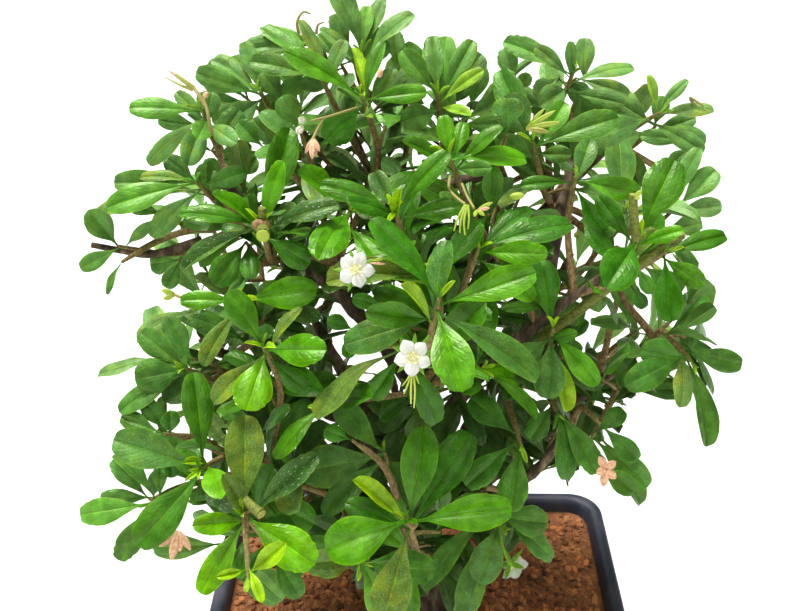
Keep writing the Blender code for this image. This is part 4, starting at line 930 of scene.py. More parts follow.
def blade_tree():
    """Leaves, petals and sepals: one closed blade on each point, bent by the point's attributes."""
    shape = Shape("Blades", {"Rows": ("Int", 10), "Columns": ("Int", 4), "Widest": ("Float", 1.5),
                             "Base": ("Float", 1.0), "Tip": ("Float", 0.5), "Stalk": ("Float", 0.09),
                             "Thickness": ("Float", 0.0005), "Material": ("Material", None)})
    rows = shape.input("Rows")
    grid = shape.add("GeometryNodeMeshGrid", {"Size X": 1.0, "Size Y": 2.0, "Vertices X": rows + 1,
                                              "Vertices Y": shape.input("Columns") + 1})
    place = shape.split(shape.add("GeometryNodeInputPosition"))
    share = place.out("X") + 0.5
    grid = shape.store(grid, "along", 1 - maths("MAXIMUM", 1 - share, 0.0) ** 1.5)
    grid = shape.store(grid, "across", place.out("Y"))
    grid = shape.store(grid, "toothed", maths("MODULO", maths("ROUND", share * rows), 2.0))
    along = shape.named("along")
    across = shape.named("across")
    swell = maths("MAXIMUM", maths("SINE", along ** shape.input("Widest") * math.pi), 0.0)
    power = shape.input("Tip") + (shape.input("Base") - shape.input("Tip")) * (1 - along)
    stalk = shape.input("Stalk") * maths("MAXIMUM", 1 - along * 2, 0.0)
    grid = shape.store(grid, "reach", across * maths("MAXIMUM", swell ** power, stalk))
    grid = shape.store(grid, "UVMap", shape.joined(X=across * 0.5 + 0.5, Y=along), "CORNER", "FLOAT2")
    level = ((1 - across * across) * maths("MINIMUM", along * 14, 1.0)
             * maths("MINIMUM", (1 - along) * 14, 1.0))
    reach = shape.named("reach")
    faces = []
    for way, face in ((1.0, grid), (-1.0, shape.add("GeometryNodeFlipFaces", {"Mesh": grid}))):
        sheet = shape.store(face, "level", level * way)
        sheet = shape.store(sheet, "under", 0.5 - 0.5 * way, "FACE")
        faces.append(shape.move(sheet, shape.joined(X=along, Y=reach, Z=shape.named("level") * 0.2)))
    closed = shape.add("GeometryNodeJoinGeometry", {"Geometry": faces})
    closed = shape.add("GeometryNodeMergeByDistance", {"Geometry": closed, "Distance": 1e-4})
    rim = maths("GREATER_THAN", abs(across), 0.99)
    closed = shape.store(closed, "sharp_edge", rim, "EDGE", "BOOLEAN")
    placed = shape.add("GeometryNodeInstanceOnPoints", {"Points": shape.input("Geometry"),
                                                        "Instance": closed})
    placed = shape.add("GeometryNodeRealizeInstances", {"Geometry": placed})

    length = shape.named("length")
    half_width = shape.named("half_width")
    fold = shape.named("fold")
    half_arch = shape.named("arch") * 0.5
    turn = half_arch * (along * 2 - 1)
    bow = maths("SINE", half_arch) * 2
    ahead = (maths("SINE", turn) + maths("SINE", half_arch)) / bow
    above = (maths("COSINE", turn) - maths("COSINE", half_arch)) / bow
    near_tip = along.between(0.70, 0.84) * (1 - along.between(0.96, 0.995))
    notch = shape.named("teeth") * shape.named("toothed") * near_tip * abs(across) ** 8
    cross = reach * (1 - notch) * half_width
    lift = abs(cross) * maths("SINE", fold) - shape.named("curl") * half_width * reach * reach
    waves = maths("SINE", along * 8 + shape.named("phase"))
    lift = lift + shape.named("wave") * half_width * waves * reach * reach
    lift = lift + cross * maths("SINE", shape.named("twist") * (along - 0.25))
    raised = above * length + lift + shape.named("level") * shape.input("Thickness") * 0.5
    where = (shape.named("base", "FLOAT_VECTOR") + shape.named("axis", "FLOAT_VECTOR") * (ahead * length)
             + shape.named("up", "FLOAT_VECTOR") * raised
             + shape.named("side", "FLOAT_VECTOR") * (cross * maths("COSINE", fold)))
    return shape.end(shape.move(placed, where), shape.input("Material"))


def tube_tree():
    """Stems along the edges of a mesh, with raised rings where leaves were and rough bark."""
    shape = Shape("Stems", {"Sides": ("Int", 10), "Ring Spacing": ("Float", 0.003),
                            "Ring Height": ("Float", 0.15), "Relief": ("Float", 0.2),
                            "Grain": ("Float", 900.0), "Material": ("Material", None)})
    curve = shape.add("GeometryNodeMeshToCurve", {"Mesh": shape.input("Geometry")})
    curve = shape.store(curve, "along", shape.add("GeometryNodeSplineParameter").out("Length"))
    profile = shape.add("GeometryNodeCurvePrimitiveCircle", {"Resolution": shape.input("Sides"),
                                                             "Radius": 1.0})
    skin = shape.add("GeometryNodeCurveToMesh", {"Curve": curve, "Profile Curve": profile,
                                                 "Scale": shape.named("radius"), "Fill Caps": True})
    skin = shape.add("GeometryNodeSetShadeSmooth", {"Geometry": skin})
    skin = rough_skin(shape, skin)
    return shape.end(skin, shape.input("Material"))


def rough_skin(shape, skin):
    """Move a skin along its normals by noise, and by rings where it has a length along it."""
    radius = shape.named("radius")
    turns = shape.named("along") / shape.input("Ring Spacing") * (2 * math.pi)
    ring = maths("MAXIMUM", maths("COSINE", turns), 0.0) ** 6 * shape.input("Ring Height")
    grain = shape.add("ShaderNodeTexNoise", {"Scale": shape.input("Grain"), "Detail": 3.0})
    normal = shape.add("GeometryNodeInputNormal")
    offset = normal * (radius * (ring + (grain - 0.5) * shape.input("Relief")))
    return shape.move(skin, offset=offset)


def crumb_tree():
    """Crumbs of soil scattered on a surface, each a small angular lump of its own shade."""
    shape = Shape("Crumbs", {"Spacing": ("Float", 0.0016), "Size": ("Float", 0.0011), "Seed": ("Int", 3),
                             "Material": ("Material", None)})
    spacing = shape.input("Spacing")
    points = shape.add("GeometryNodeDistributePointsOnFaces",
                       {"Mesh": shape.input("Geometry"), "Distance Min": spacing,
                        "Density Max": 1.6 / (spacing * spacing), "Seed": shape.input("Seed")},
                       distribute_method="POISSON")

    def chance(low, high, seed, kind="FLOAT"):
        return shape.add("FunctionNodeRandomValue", {"Min": low, "Max": high, "Seed": seed},
                         data_type=kind)

    points = shape.store(points, "shade", chance(0.0, 1.0, 5))
    lump = shape.add("GeometryNodeMeshIcoSphere", {"Radius": shape.input("Size"), "Subdivisions": 1})
    size = chance((0.45, 0.45, 0.35), (1.7, 1.2, 1.0), 7, "FLOAT_VECTOR")
    size = size * chance(0.35, 1.2, 13) ** 1.5
    turn = chance((-0.6, -0.6, -3.1), (0.6, 0.6, 3.1), 9, "FLOAT_VECTOR")
    placed = shape.add("GeometryNodeInstanceOnPoints", {"Points": points, "Instance": lump,
                                                        "Rotation": turn, "Scale": size})
    placed = shape.add("GeometryNodeRealizeInstances", {"Geometry": placed})
    jolt = shape.add("ShaderNodeTexNoise", {"Scale": 1300.0, "Detail": 1.0}).out("Color")
    placed = shape.move(placed, offset=(jolt - (0.5, 0.5, 0.5)) * (shape.input("Size") * 1.1))
    return shape.end(placed, shape.input("Material"))


# Materials

def leaf_skin(looks):
    """Glossy leaf: midrib, side veins, mottling, painted sheen patches with pale speckles, a pale
    underside and, on old leaves, white dots.
    """
    shader = Shader("leaf_skin")
    across, along = shader.blade_place()
    cross = abs(across)
    under = shader.attribute("under")
    tone = shader.attribute("tone")
    worn = shader.attribute("worn")
    fine = shader.noise(1500.0, 3.0)
    broad = shader.noise(170.0, 2.0)
    # Random broad patches of painted sheen: the leaf's colour is lighter there and carries pale speckles
    shade = shader.noise(240.0, 2.0).between(0.34, 0.66)

    midrib = 1 - cross.between(0.015, 0.06 + (1 - along) * 0.06)
    veins = 1 - abs(maths("FRACT", along * 7.5 - cross * 2.2 + tone) - 0.5).between(0.03, 0.22)
    veins = veins * cross.between(0.08, 0.3) * (1 - cross.between(0.7, 0.95))
    # The body is lighter in the painted sheen patches
    body = shader.attribute("leaf_colour", "Color") * (0.50 + fine * 0.34 + tone * 0.32 + shade * 0.44)
    body = shader.mix((1 - along.between(0.0, 0.45)) * 0.5, body, body * (0.72, 0.88, 0.7))
    blotches = broad.between(0.45, 0.68) * (0.22 + worn * 0.65)
    body = shader.mix(blotches, body, body * looks.blotch_shift[:])
    body = shader.mix(veins * 0.10, body, body * (0.66, 0.74, 0.62))
    # Pale speckles: painted sheen in the sheen patches, and real speckling on worn leaves
    sheen_and_wear_specks = shader.noise(2600.0, 1.0).between(0.48, 0.62) * (shade * 0.20 + worn * 0.32)
    body = shader.mix(sheen_and_wear_specks, body, body * 1.2 + (0.10, 0.14, 0.07))
    body = shader.mix(midrib * 0.7, body, body * (1.6, 1.35, 1.1) + (0.030, 0.050, 0.004))
    body = shader.mix(cross.between(0.90, 1.0) * 0.75, body, body * (1.7, 1.4, 1.0) + (0.035, 0.05, 0.0))
    cells = shader.joined(X=across * 5.5, Y=along * 15, Z=tone * 9)
    dots = shader.add("ShaderNodeTexVoronoi", {"Vector": cells, "Scale": 1.0})
    dots = (1 - dots.between(0.14, 0.22)) * shader.attribute("dots") * (1 - cross.between(0.86, 0.94))
    body = shader.mix(dots, body, (0.60, 0.70, 0.50))
    pale = body * (0.75, 0.70, 0.62) + looks.underside[:]
    body = shader.mix(under, body, pale)
    rough = 0.19 + fine * 0.22 + worn * 0.12 + shader.attribute("away") * 0.16 + under * 0.35
    height = fine * 0.4 + broad * 0.6 - (midrib * 0.6 + veins * 0.2) * (1 - under * 2) + dots * 0.5
    return shader.finish(base_color=body, roughness=rough, normal=shader.bump(height, 0.00018),
                         coat_weight=0.05, coat_roughness=0.18, specular_ior_level=0.40,
                         specular_tint=(0.84, 1.0, 0.5, 1.0))


def petal_skin(looks):
    """White petals, faintly veined, that turn yellow towards the throat."""
    shader = Shader("petal_skin")
    across, along = shader.blade_place()
    fine = shader.noise(2600.0, 2.0)
    lines = maths("SINE", abs(across) * 16) * 0.5 + 0.5
    body = shader.mix(1 - along.between(0.08, 0.42), looks.petal[:], looks.throat[:])
    body = body * (0.94 + fine * 0.08) * (1 - lines * 0.03)
    return shader.finish(base_color=body, roughness=0.50 + fine * 0.1,
                         normal=shader.bump(lines * 0.5 + fine * 0.4, 0.00010))


def soft_skin(name, body, mottle, roughness=0.55):
    """A small fleshy part, such as a stamen, a sepal or a bud."""
    shader = Shader(name)
    fine = shader.noise(1500.0)
    return shader.finish(base_color=shader.mix(fine.between(0.35, 0.7), body[:], mottle[:]),
                         roughness=roughness + fine * 0.1, normal=shader.bump(fine, 0.00012))


def bark_skin(looks):
    """Rough bark: grey-brown plates over a darker ground."""
    shader = Shader("bark")
    streaks = shader.noise(420.0, 5.0, (1.0, 1.0, 0.28))
    plates = shader.noise(160.0, 3.0, (1.0, 1.0, 0.5))
    fine = shader.noise(2400.0, 2.0)
    body = shader.ramp(streaks, (0.30, looks.bark_dark), (0.50, looks.bark), (0.72, looks.bark_light))
    body = shader.mix(plates.between(0.55, 0.72) * 0.6, body, body * (1.45, 1.4, 1.3))
    body = body * (0.8 + fine * 0.4)
    height = streaks * 0.8 + fine * 0.3 + plates * 0.6
    return shader.finish(base_color=body, roughness=0.82 + fine * 0.12,
                         normal=shader.bump(height, 0.0006))


def twig_skin(looks):
    """Young brown twigs: streaked along their length, greener towards the leaves."""
    shader = Shader("twig")
    streaks = shader.noise(1400.0, 4.0, (1.0, 1.0, 0.45))
    fine = shader.noise(3800.0, 2.0)
    young = shader.attribute("young")
    body = shader.mix(streaks.between(0.35, 0.68), looks.twig_dark[:], looks.twig[:])
    body = shader.mix(young * (0.35 + streaks * 0.5), body, looks.twig_green[:])
    body = body * (0.8 + fine * 0.4)
    return shader.finish(base_color=body, roughness=0.66 + fine * 0.14,
                         normal=shader.bump(streaks * 0.7 + fine * 0.4, 0.0002))


def pot_plastic(looks):
    """Moulded nursery-pot plastic: a fine grain, soft scuffs and a film of dried soil near the rim."""
    shader = Shader("pot_plastic")
    grain = shader.noise(3200.0, 2.0)
    scuffs = shader.noise(60.0, 6.0, (1.0, 1.0, 0.35))
    height = shader.split(shader.place()).out("Z")
    film = height.between(SOIL_LEVEL - 0.004, POT_HEIGHT) * scuffs.between(0.45, 0.7)
    body = shader.mix(scuffs.between(0.4, 0.72) * 0.5, looks.plastic[:], looks.plastic_worn[:])
    body = shader.mix(film * 0.25, body, looks.soil_film[:])
    rough = 0.38 + scuffs * 0.16 + film * 0.25
    return shader.finish(base_color=body, roughness=rough, normal=shader.bump(grain, 0.00008))


def soil_skin(looks, name="soil_ground", shade=None):
    """Coir and bark crumbs: dark wet ground to orange fibre."""
    shader = Shader(name)
    lumps = shader.noise(330.0, 4.0)
    fine = shader.noise(2600.0, 3.0)
    pick = shader.attribute(shade) * 0.8 + lumps * 0.3 if shade else lumps * 0.75
    body = shader.ramp(pick, (0.15, looks.soil_dark), (0.45, looks.soil), (0.72, looks.soil_light),
                       (0.97, looks.soil_orange))
    body = body * (0.7 + fine * 0.55)
    return shader.finish(base_color=body, roughness=0.86 + fine * 0.1,
                         normal=shader.bump(lumps + fine * 0.5, 0.0006))


# Settings

def colour(name, description, *screen):
    return bpy.props.FloatVectorProperty(name=name, description=description, subtype="COLOR", size=3,
                                         min=0.0, max=1.0, default=tint(*screen))


def length(name, description, default):
    return bpy.props.FloatProperty(name=name, description=description, unit="LENGTH", min=0.0,
                                   precision=5, default=default)


def share(name, description, default, most=1.0):
    return bpy.props.FloatProperty(name=name, description=description, min=0.0, max=most, default=default)


def group(kind, name, description):
    return bpy.props.PointerProperty(type=kind, name=name, description=description)


class TeaTreeLeafLooks(bpy.types.PropertyGroup):
    thickness: length("Blade thickness", "Thickness of a leaf at its middle", 0.0005)
    young: colour("Young leaf", "Colour of the newest leaves", 150, 196, 12)
    # A lighter copy of the bright leaf colour, painted light for bright leaves that stand in shade
    fresh: colour("Fresh leaf", "Colour of soft leaves still growing", 98, 163, 0)
    bright: colour("Bright leaf", "Colour of leaves just grown to full size", 77, 145, 0)
    middle: colour("Middle leaf", "Colour of most leaves", 56, 115, 2)
    dark: colour("Dark leaf", "Colour of older glossy leaves", 46, 111, 0)
    far: colour("Far leaf", "Colour that leaves at the back of the crown lean towards", 132, 178, 104)
    far_share: share("Far share", "How far the leaves at the back lean to it", 0.48)
    # Painted shade for the leaves deep inside the crown
    inner_shade: share("Inner shade", "How much darker the leaves deep inside are", 0.60)
    dull: colour("Dull leaf", "Colour of leaves turned to a flat grey-green", 68, 121, 42)
    old: colour("Old leaf", "Colour of yellowing leaves", 86, 118, 34)
    spotted: colour("Spotted leaf", "Colour of leaves with white dots", 56, 100, 38)
    underside: colour("Underside", "Light added on the underside of a leaf", 70, 92, 48)
    blotch_shift: bpy.props.FloatVectorProperty(
        name="Blotch shift", description="How yellowing blotches change a leaf's red, green and blue",
        size=3, min=0.0, max=4.0, default=(1.80, 1.28, 0.6))


class TeaTreeWoodLooks(bpy.types.PropertyGroup):
    voxel: length("Join size", "Grain of the skin that joins trunk, branches and roots", 0.00075)
    bark: colour("Bark", "Middle colour of the bark", 92, 74, 56)
    bark_light: colour("Bark plates", "Colour of the raised plates", 142, 122, 98)
    bark_dark: colour("Bark cracks", "Colour of the cracks", 44, 34, 26)
    twig: colour("Twig", "Light streaks of young twigs", 178, 146, 96)
    twig_dark: colour("Twig shade", "Dark streaks of young twigs", 114, 86, 52)
    twig_green: colour("Twig tip", "Colour of the newest growth", 128, 146, 58)


class TeaTreeFlowerLooks(bpy.types.PropertyGroup):
    petal: colour("Petal", "Colour of the petals", 246, 247, 240)
    throat: colour("Throat", "Colour of the petals near the middle", 226, 228, 168)
    anther: colour("Anther", "Colour of the anthers", 248, 243, 196)
    sepal: colour("Sepal", "Colour of the calyx", 132, 186, 30)


class TeaTreeDetailLooks(bpy.types.PropertyGroup):
    strand: colour("Strands", "Colour of what a spent flower leaves hanging", 190, 196, 96)
    lime: colour("Lime bud", "Colour of the newest buds", 168, 206, 40)
    bud: colour("Bud", "Colour of closed buds", 178, 178, 84)
    stalk: colour("Stalk", "Colour of thin stalks", 168, 172, 96)
    dried: colour("Dried flower", "Colour of a dried flower", 250, 206, 172)
    dried_dark: colour("Dried shade", "Dark streaks of a dried flower", 226, 160, 116)
    stub: colour("Stub", "Colour of a clipped green stem", 132, 146, 48)
    stub_dark: colour("Stub shade", "Dark streaks of a clipped stem", 92, 92, 40)
    cut: colour("Cut face", "Colour of the end of a clipped stem", 188, 178, 96)


class TeaTreePotLooks(bpy.types.PropertyGroup):
    plastic: colour("Plastic", "Colour of the pot", 44, 51, 66)
    plastic_worn: colour("Scuffed plastic", "Colour of scuffs on the pot", 76, 86, 106)
    soil_film: colour("Dried soil", "Colour of the film of dried soil", 112, 92, 74)
    corner_steps: bpy.props.IntProperty(name="Corner steps", description="Flats in each rounded corner",
                                        min=2, max=32, default=12)


class TeaTreeSoilLooks(bpy.types.PropertyGroup):
    crumb_spacing: length("Crumb spacing", "Least distance between crumbs", 0.0015)
    crumb_size: length("Crumb size", "Radius of a crumb", 0.00135)
    soil: colour("Soil", "Middle colour of the soil", 164, 104, 62)
    soil_light: colour("Light crumbs", "Colour of dry crumbs", 198, 136, 88)
    soil_orange: colour("Orange crumbs", "Colour of fresh coir", 226, 140, 78)
    soil_dark: colour("Dark crumbs", "Colour of wet crumbs", 98, 62, 38)


class TeaTreeStageLooks(bpy.types.PropertyGroup):
    floor: colour("Floor", "Colour of the floor", 246, 246, 246)
    sky: colour("Sky", "Colour of the even light", 255, 252, 236)
    sky_strength: share("Sky strength", "Strength of the even light", 0.17, 10.0)
    lamp_strength: share("Lamp strength", "Strength of the high soft lamp", 4.2, 100.0)


class TeaTreeLooks(bpy.types.PropertyGroup):
    leaf: group(TeaTreeLeafLooks, "Leaves", "Looks of the leaves")
    wood: group(TeaTreeWoodLooks, "Wood", "Looks of the wood")
    flower: group(TeaTreeFlowerLooks, "Flowers", "Looks of the flowers")
    pot: group(TeaTreePotLooks, "Pot", "Looks of the pot")
    soil: group(TeaTreeSoilLooks, "Soil", "Looks of the soil")
    detail: group(TeaTreeDetailLooks, "Details", "Looks of small parts")
    stage: group(TeaTreeStageLooks, "Stage", "Floor and light")


# Pot and soil

def square_reach(angle, side, radius):
    """Distance from the centre to a rounded square's edge at an angle."""
    across = abs(math.cos(angle))
    along = abs(math.sin(angle))
    longer = max(across, along)
    shorter = min(across, along)
    half = side / 2
    if shorter / longer * half <= half - radius:
        return half / longer
    centre = half - radius
    middle = centre * (longer + shorter)
    return middle + math.sqrt(middle ** 2 - 2 * centre ** 2 + radius ** 2)


def square_ring(side, radius, height, corner_steps):
    points = []
    centre = side / 2 - radius
    for corner, (turn_x, turn_y) in enumerate(((1, 1), (-1, 1), (-1, -1), (1, -1))):
        for step in range(corner_steps + 1):
            angle = (corner + step / corner_steps) * math.pi / 2
            points.append((turn_x * centre + radius * math.cos(angle),
                           turn_y * centre + radius * math.sin(angle), height))
    return points


def loft(rings):
    """Points and faces of a closed body skinned over rings with equal numbers of points."""
    count = len(rings[0])
    points = [point for ring in rings for point in ring]
    faces = [tuple(reversed(range(count)))]
    for level in range(len(rings) - 1):
        low = level * count
        for step in range(count):
            after = (step + 1) % count
            faces.append((low + step, low + after, low + count + after, low + count + step))
    last = (len(rings) - 1) * count
    faces.append(tuple(range(last, last + count)))
    return points, faces


def body_side(height):
    """Outer side of the pot's tapered body."""
    under_lip = POT_SIDE - 2 * LIP_WIDTH
    return POT_FOOT_SIDE + (under_lip - POT_FOOT_SIDE) * height / (POT_HEIGHT - LIP_DROP)


def inner_side(height):
    return min(body_side(height) - 2 * POT_WALL, POT_SIDE - 2 * LIP_WIDTH - 0.0025)


def pot_levels():
    """Side, corner radius and height of the pot's rings, from the foot over the lip to the floor."""
    lip_foot = POT_HEIGHT - LIP_DROP
    step = 0.62 * lip_foot
    in_lip = POT_SIDE - 2 * LIP_WIDTH
    return (
        (POT_FOOT_SIDE - 0.012, CORNER_RADIUS - 0.005, 0.0012),
        (POT_FOOT_SIDE - 0.010, CORNER_RADIUS - 0.005, 0.0),
        (POT_FOOT_SIDE - 0.004, CORNER_RADIUS - 0.002, 0.0),
        (POT_FOOT_SIDE, CORNER_RADIUS, 0.002),
        (body_side(step), CORNER_RADIUS - 0.001, step),
        (body_side(step) + 0.0006, CORNER_RADIUS - 0.001, step + 0.0007),
        (body_side(lip_foot), CORNER_RADIUS - 0.002, lip_foot),
        (POT_SIDE - 0.001, CORNER_RADIUS - 0.0005, lip_foot),
        (POT_SIDE, CORNER_RADIUS, lip_foot + 0.001),
        (POT_SIDE, CORNER_RADIUS, POT_HEIGHT - 0.002),
        (POT_SIDE - 0.0005, CORNER_RADIUS - 0.0002, POT_HEIGHT - 0.0011),
        (POT_SIDE - 0.0014, CORNER_RADIUS - 0.0006, POT_HEIGHT - 0.0004),
        (POT_SIDE - 0.0034, CORNER_RADIUS - 0.0014, POT_HEIGHT),
        (in_lip + 0.001, INNER_CORNER, POT_HEIGHT),
        (in_lip - 0.0006, INNER_CORNER, POT_HEIGHT - 0.0006),
        (inner_side(POT_HEIGHT), INNER_CORNER, POT_HEIGHT - 0.002),
        (inner_side(lip_foot), INNER_CORNER, lip_foot),
        (inner_side(POT_FLOOR), INNER_CORNER, POT_FLOOR),
    )


def make_pot(looks):
    rings = [square_ring(*level, looks.corner_steps) for level in pot_levels()]
    pot = mesh_object("pot_shell", *loft(rings))
    cutters = bpy.data.collections.new("drain_cutters")
    bpy.context.scene.collection.children.link(cutters)
    reach = DRAIN_FROM_CENTRE * math.sqrt(2)
    for turn in range(4):
        angle = (turn + 0.5) * math.pi / 2
        bpy.ops.mesh.primitive_cylinder_add(
            vertices=32, radius=DRAIN_RADIUS, depth=0.01,
            location=(reach * math.cos(angle), reach * math.sin(angle), POT_FLOOR / 2))
        hole = bpy.context.object
        hole.users_collection[0].objects.unlink(hole)
        cutters.objects.link(hole)
    cut = pot.modifiers.new("drain holes", "BOOLEAN")
    cut.operand_type = "COLLECTION"
    cut.collection = cutters
    cut.solver = "EXACT"
    bevel = pot.modifiers.new("rounded edges", "BEVEL")
    bevel.width = 0.0003
    bevel.segments = 2
    bevel.limit_method = "ANGLE"
    bevel.angle_limit = math.radians(40.0)
    bevel.harden_normals = True
    smooth_faces(pot.data)
    plain_mesh(pot)
    for hole in list(cutters.objects):
        bpy.data.objects.remove(hole, do_unlink=True)
    bpy.data.collections.remove(cutters)
    pot.data.materials.append(pot_plastic(looks))
    declare(pot, "pot_plastic", "pot")


def soil_height(packed, x, y):
    """The ground under the crumbs, whose middle is where the packed soil's top stands."""
    hit = packed.ray_cast(Vector((x, y, POT_HEIGHT)), -UP)
    if math.hypot(x, y) < TRUNK_FOOT_RADIUS + 0.0015 or hit[0] is None:
        return SOIL_LEVEL - SOIL_RISE
    return hit[0].z - SOIL_RISE


def make_soil(looks):
    packed = solid_tree(["soil"])
    angles = [2 * math.pi * step / SOIL_STEPS for step in range(SOIL_STEPS)]

    def wall_ring(height):
        reaches = [square_reach(angle, inner_side(height) - 0.0006, INNER_CORNER) for angle in angles]
        return [(reach * math.cos(angle), reach * math.sin(angle), height)
                for reach, angle in zip(reaches, angles)]

    def ground_ring(share):
        return [(x * share, y * share, soil_height(packed, x * share, y * share)) for x, y, _ in edge]

    edge = wall_ring(SOIL_LEVEL)
    rings = [wall_ring(POT_FLOOR + 0.0003), wall_ring(POT_HEIGHT - LIP_DROP), edge]
    rings += [ground_ring(share) for share in [0.985] + [1 - 0.025 * step for step in range(1, 39)]]
    soil = mesh_object("soil_ground", *loft(rings))
    smooth_faces(soil.data)
    soil.data.materials.append(soil_skin(looks))

    points, faces = loft([ground_ring(0.98 - 0.035 * step) for step in range(25)])
    crumbs = mesh_object("soil_crumbs", points, faces[1:-1])
    grow(crumbs, crumb_tree(), {"Spacing": looks.crumb_spacing, "Size": looks.crumb_size,
                                "Material": soil_skin(looks, "soil_crumb", "shade")})
    declare(soil, "soil", "soil")
    declare(crumbs, "soil")


# Wood

def grown_tubes(name, tubes, skin, sides, ring_height=0.0, relief=0.0, spacing=0.003, grain=900.0):
    """Tubes as one plain mesh, which knows how young its stems are."""
    points, edges, radii, young = [], [], [], []
    for tube in tubes:
        count = len(tube.points)
        edges += [(len(points) + step, len(points) + step + 1) for step in range(count - 1)]
        points += tube.points
        radii += tube.radii
        young += tube.young if isinstance(tube.young, list) else [tube.young] * count
    thing = mesh_object(name, points, [], edges)
    set_attribute(thing.data, "radius", radii)
    set_attribute(thing.data, "young", young)
    tree = bpy.data.node_groups.get("Stems") or tube_tree()
    return grow(thing, tree, {"Sides": sides, "Ring Height": ring_height, "Relief": relief,
                              "Ring Spacing": spacing, "Grain": grain, "Material": skin})


def root_tubes():
    tubes = []
    for turn in range(5):
        angle = turn * 2 * math.pi / 5 + 0.4 + 0.2 * math.sin(turn * 2.3)
        way = Vector((math.cos(angle), math.sin(angle), 0.0))
        points = [way * 0.002 + UP * (SOIL_LEVEL + 0.009), way * 0.009 + UP * (SOIL_LEVEL + 0.0045),
                  way * 0.0165 + UP * (SOIL_LEVEL + 0.0020), way * 0.022 + UP * (SOIL_LEVEL + 0.0006)]
        radii = smooth_values([0.005, 0.0034, 0.0019, 0.0009], 4)
        tubes.append(Tube(smooth_line(points, 4), radii, 0.0))
    return tubes


def make_wood(looks, plan):
    knots = [Vector(knot) * MM for knot in TRUNK]
    radii = [radius * MM for radius in TRUNK_RADII]
    trunk = Tube(smooth_line(knots, 6), smooth_values(radii, 6), 0.0)
    # The foot of the trunk stands upright in the soil
    for place in trunk.points[1:6]:
        place.x = place.y = 0.0
    bark = bark_skin(looks)
    wood = grown_tubes("trunk_and_branches", [trunk] + branch_tubes(6) + root_tubes(), bark, 20)
    join = wood.modifiers.new("one skin", "REMESH")
    join.mode = "VOXEL"
    join.voxel_size = looks.voxel
    join.use_smooth_shade = True
    wood.modifiers.new("soft forks", "SMOOTH").iterations = 4
    grow(wood, bark_relief(), {"Material": bark})
    declare(wood, "bark", "wood")
    declare(grown_tubes("twigs", plan.twigs, twig_skin(looks), 10, 0.28, 0.5, 0.0031, 1300.0), "bark")


def bark_relief():
    """Cracks and plates pressed into the joined wood."""
    shape = Shape("Bark", {"Depth": ("Float", 0.0011), "Material": ("Material", None)})
    place = shape.add("GeometryNodeInputPosition")
    streaks = shape.add("ShaderNodeTexNoise", {"Vector": place * (1.0, 1.0, 0.3), "Scale": 420.0,
                                               "Detail": 4.0})
    lumps = shape.add("ShaderNodeTexNoise", {"Vector": place, "Scale": 120.0, "Detail": 2.0})
    normal = shape.add("GeometryNodeInputNormal")
    depth = (streaks - 0.55) * shape.input("Depth") + (lumps - 0.5) * 0.0016
    skin = shape.move(shape.input("Geometry"), offset=normal * depth)
    skin = shape.add("GeometryNodeSetShadeSmooth", {"Geometry": skin})
    return shape.end(skin, shape.input("Material"))


# Leaves

def blade_points(name, blades, draw, looks, teeth, inner):
    """A mesh with one point for each blade, which carries all that bends and colours it."""
    rows = []
    for blade in blades:
        axis, up = frame_of(blade)
        age = AGES[blade.age]
        away = clamped(((blade.base - EYE).length - FAR_FROM) / FAR_DEPTH)
        outward = blade.base - CROWN_MIDDLE
        outward = Vector([gap / reach for gap, reach in zip(outward, CROWN_REACH)]).length
        # Painted shade: leaves deep inside the crown are darkened by the share inner
        shade = 1 - inner * clamped((1.15 - outward) / 0.40)
        tones = [(near + (far - near) * away * looks.far_share) * shade
                 for near, far in zip(getattr(looks, age.colour), looks.far)]
        rows.append({
            "base": blade.base, "axis": axis, "up": up, "side": up.cross(axis),
            "length": (blade.tip - blade.base).length, "half_width": blade.width / 2, "arch": blade.arch,
            "fold": blade.fold + (draw.uniform(0.16, 0.48) if teeth else 0.0),
            "curl": draw.uniform(0.15, 0.55), "wave": draw.uniform(0.0, 0.12),
            "phase": draw.uniform(0, 6.28), "twist": draw.uniform(-0.35, 0.35),
            "teeth": teeth * draw.choice((0.0, 0.2, 0.6, 1.2)), "tone": draw.random(),
            "worn": age.worn, "dots": age.dots, "away": away, "leaf_colour": [*tones, 1.0]})
    thing = mesh_object(name, [row["base"] for row in rows], [])
    kinds = {"base": "FLOAT_VECTOR", "axis": "FLOAT_VECTOR", "up": "FLOAT_VECTOR", "side": "FLOAT_VECTOR",
             "leaf_colour": "FLOAT_COLOR"}
    for label in rows[0]:
        set_attribute(thing.data, label, [row[label] for row in rows], kinds.get(label, "FLOAT"))
    return thing


def grown_blades(name, blades, draw, looks, skin, rows, columns, form, thickness=0.0005, teeth=0.08,
                 inner=0.0):
    """Blades as one plain mesh. They darken by the share inner, the deeper in the crown they grow:
    painted shade for the shade inside the crown.
    """
    thing = blade_points(name, blades, draw, looks, teeth, inner)
    tree = bpy.data.node_groups.get("Blades") or blade_tree()
    return grow(thing, tree, {"Rows": rows, "Columns": columns, **form, "Thickness": thickness,
                              "Material": skin})


class Plan:
    """Where every leaf and twig stands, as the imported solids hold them."""

    def __init__(self):
        shown = [shown_spray(*shoot) for shoot in SHOWN_SHOOTS]
        self.sprays = shown + crown_sprays([spray.stem[1] for spray in shown])
        self.blades = {}
        self.stems = {}
        for spray in self.sprays:
            self.blades.setdefault(spray.name, []).extend(spray.blades)
            self.stems.setdefault(spray.name, []).append(spray.stem)
        self.blades = {name: as_packed(name, blades) for name, blades in self.blades.items()}
        self.stalks = {}
        for flower in FLOWERS:
            stem = self.stems[flower.shoot][0]
            self.stalks.setdefault(flower.shoot, []).append(flower_stalk(flower, stem))
        stretches = [(spray.name, *spray.stem) for spray in self.sprays]
        for name, lines in self.stalks.items():
            for line in lines:
                stretches += [(name, start, end) for start, end in zip(line[::2], line[2::2])]
        branches = branch_tubes(2)
        self.twigs = []
        for number, spray in enumerate(self.sprays):
            if spray.name != self.sprays[number - 1].name:
                self.twigs.append(twig_tube(spray, branches, stretches))


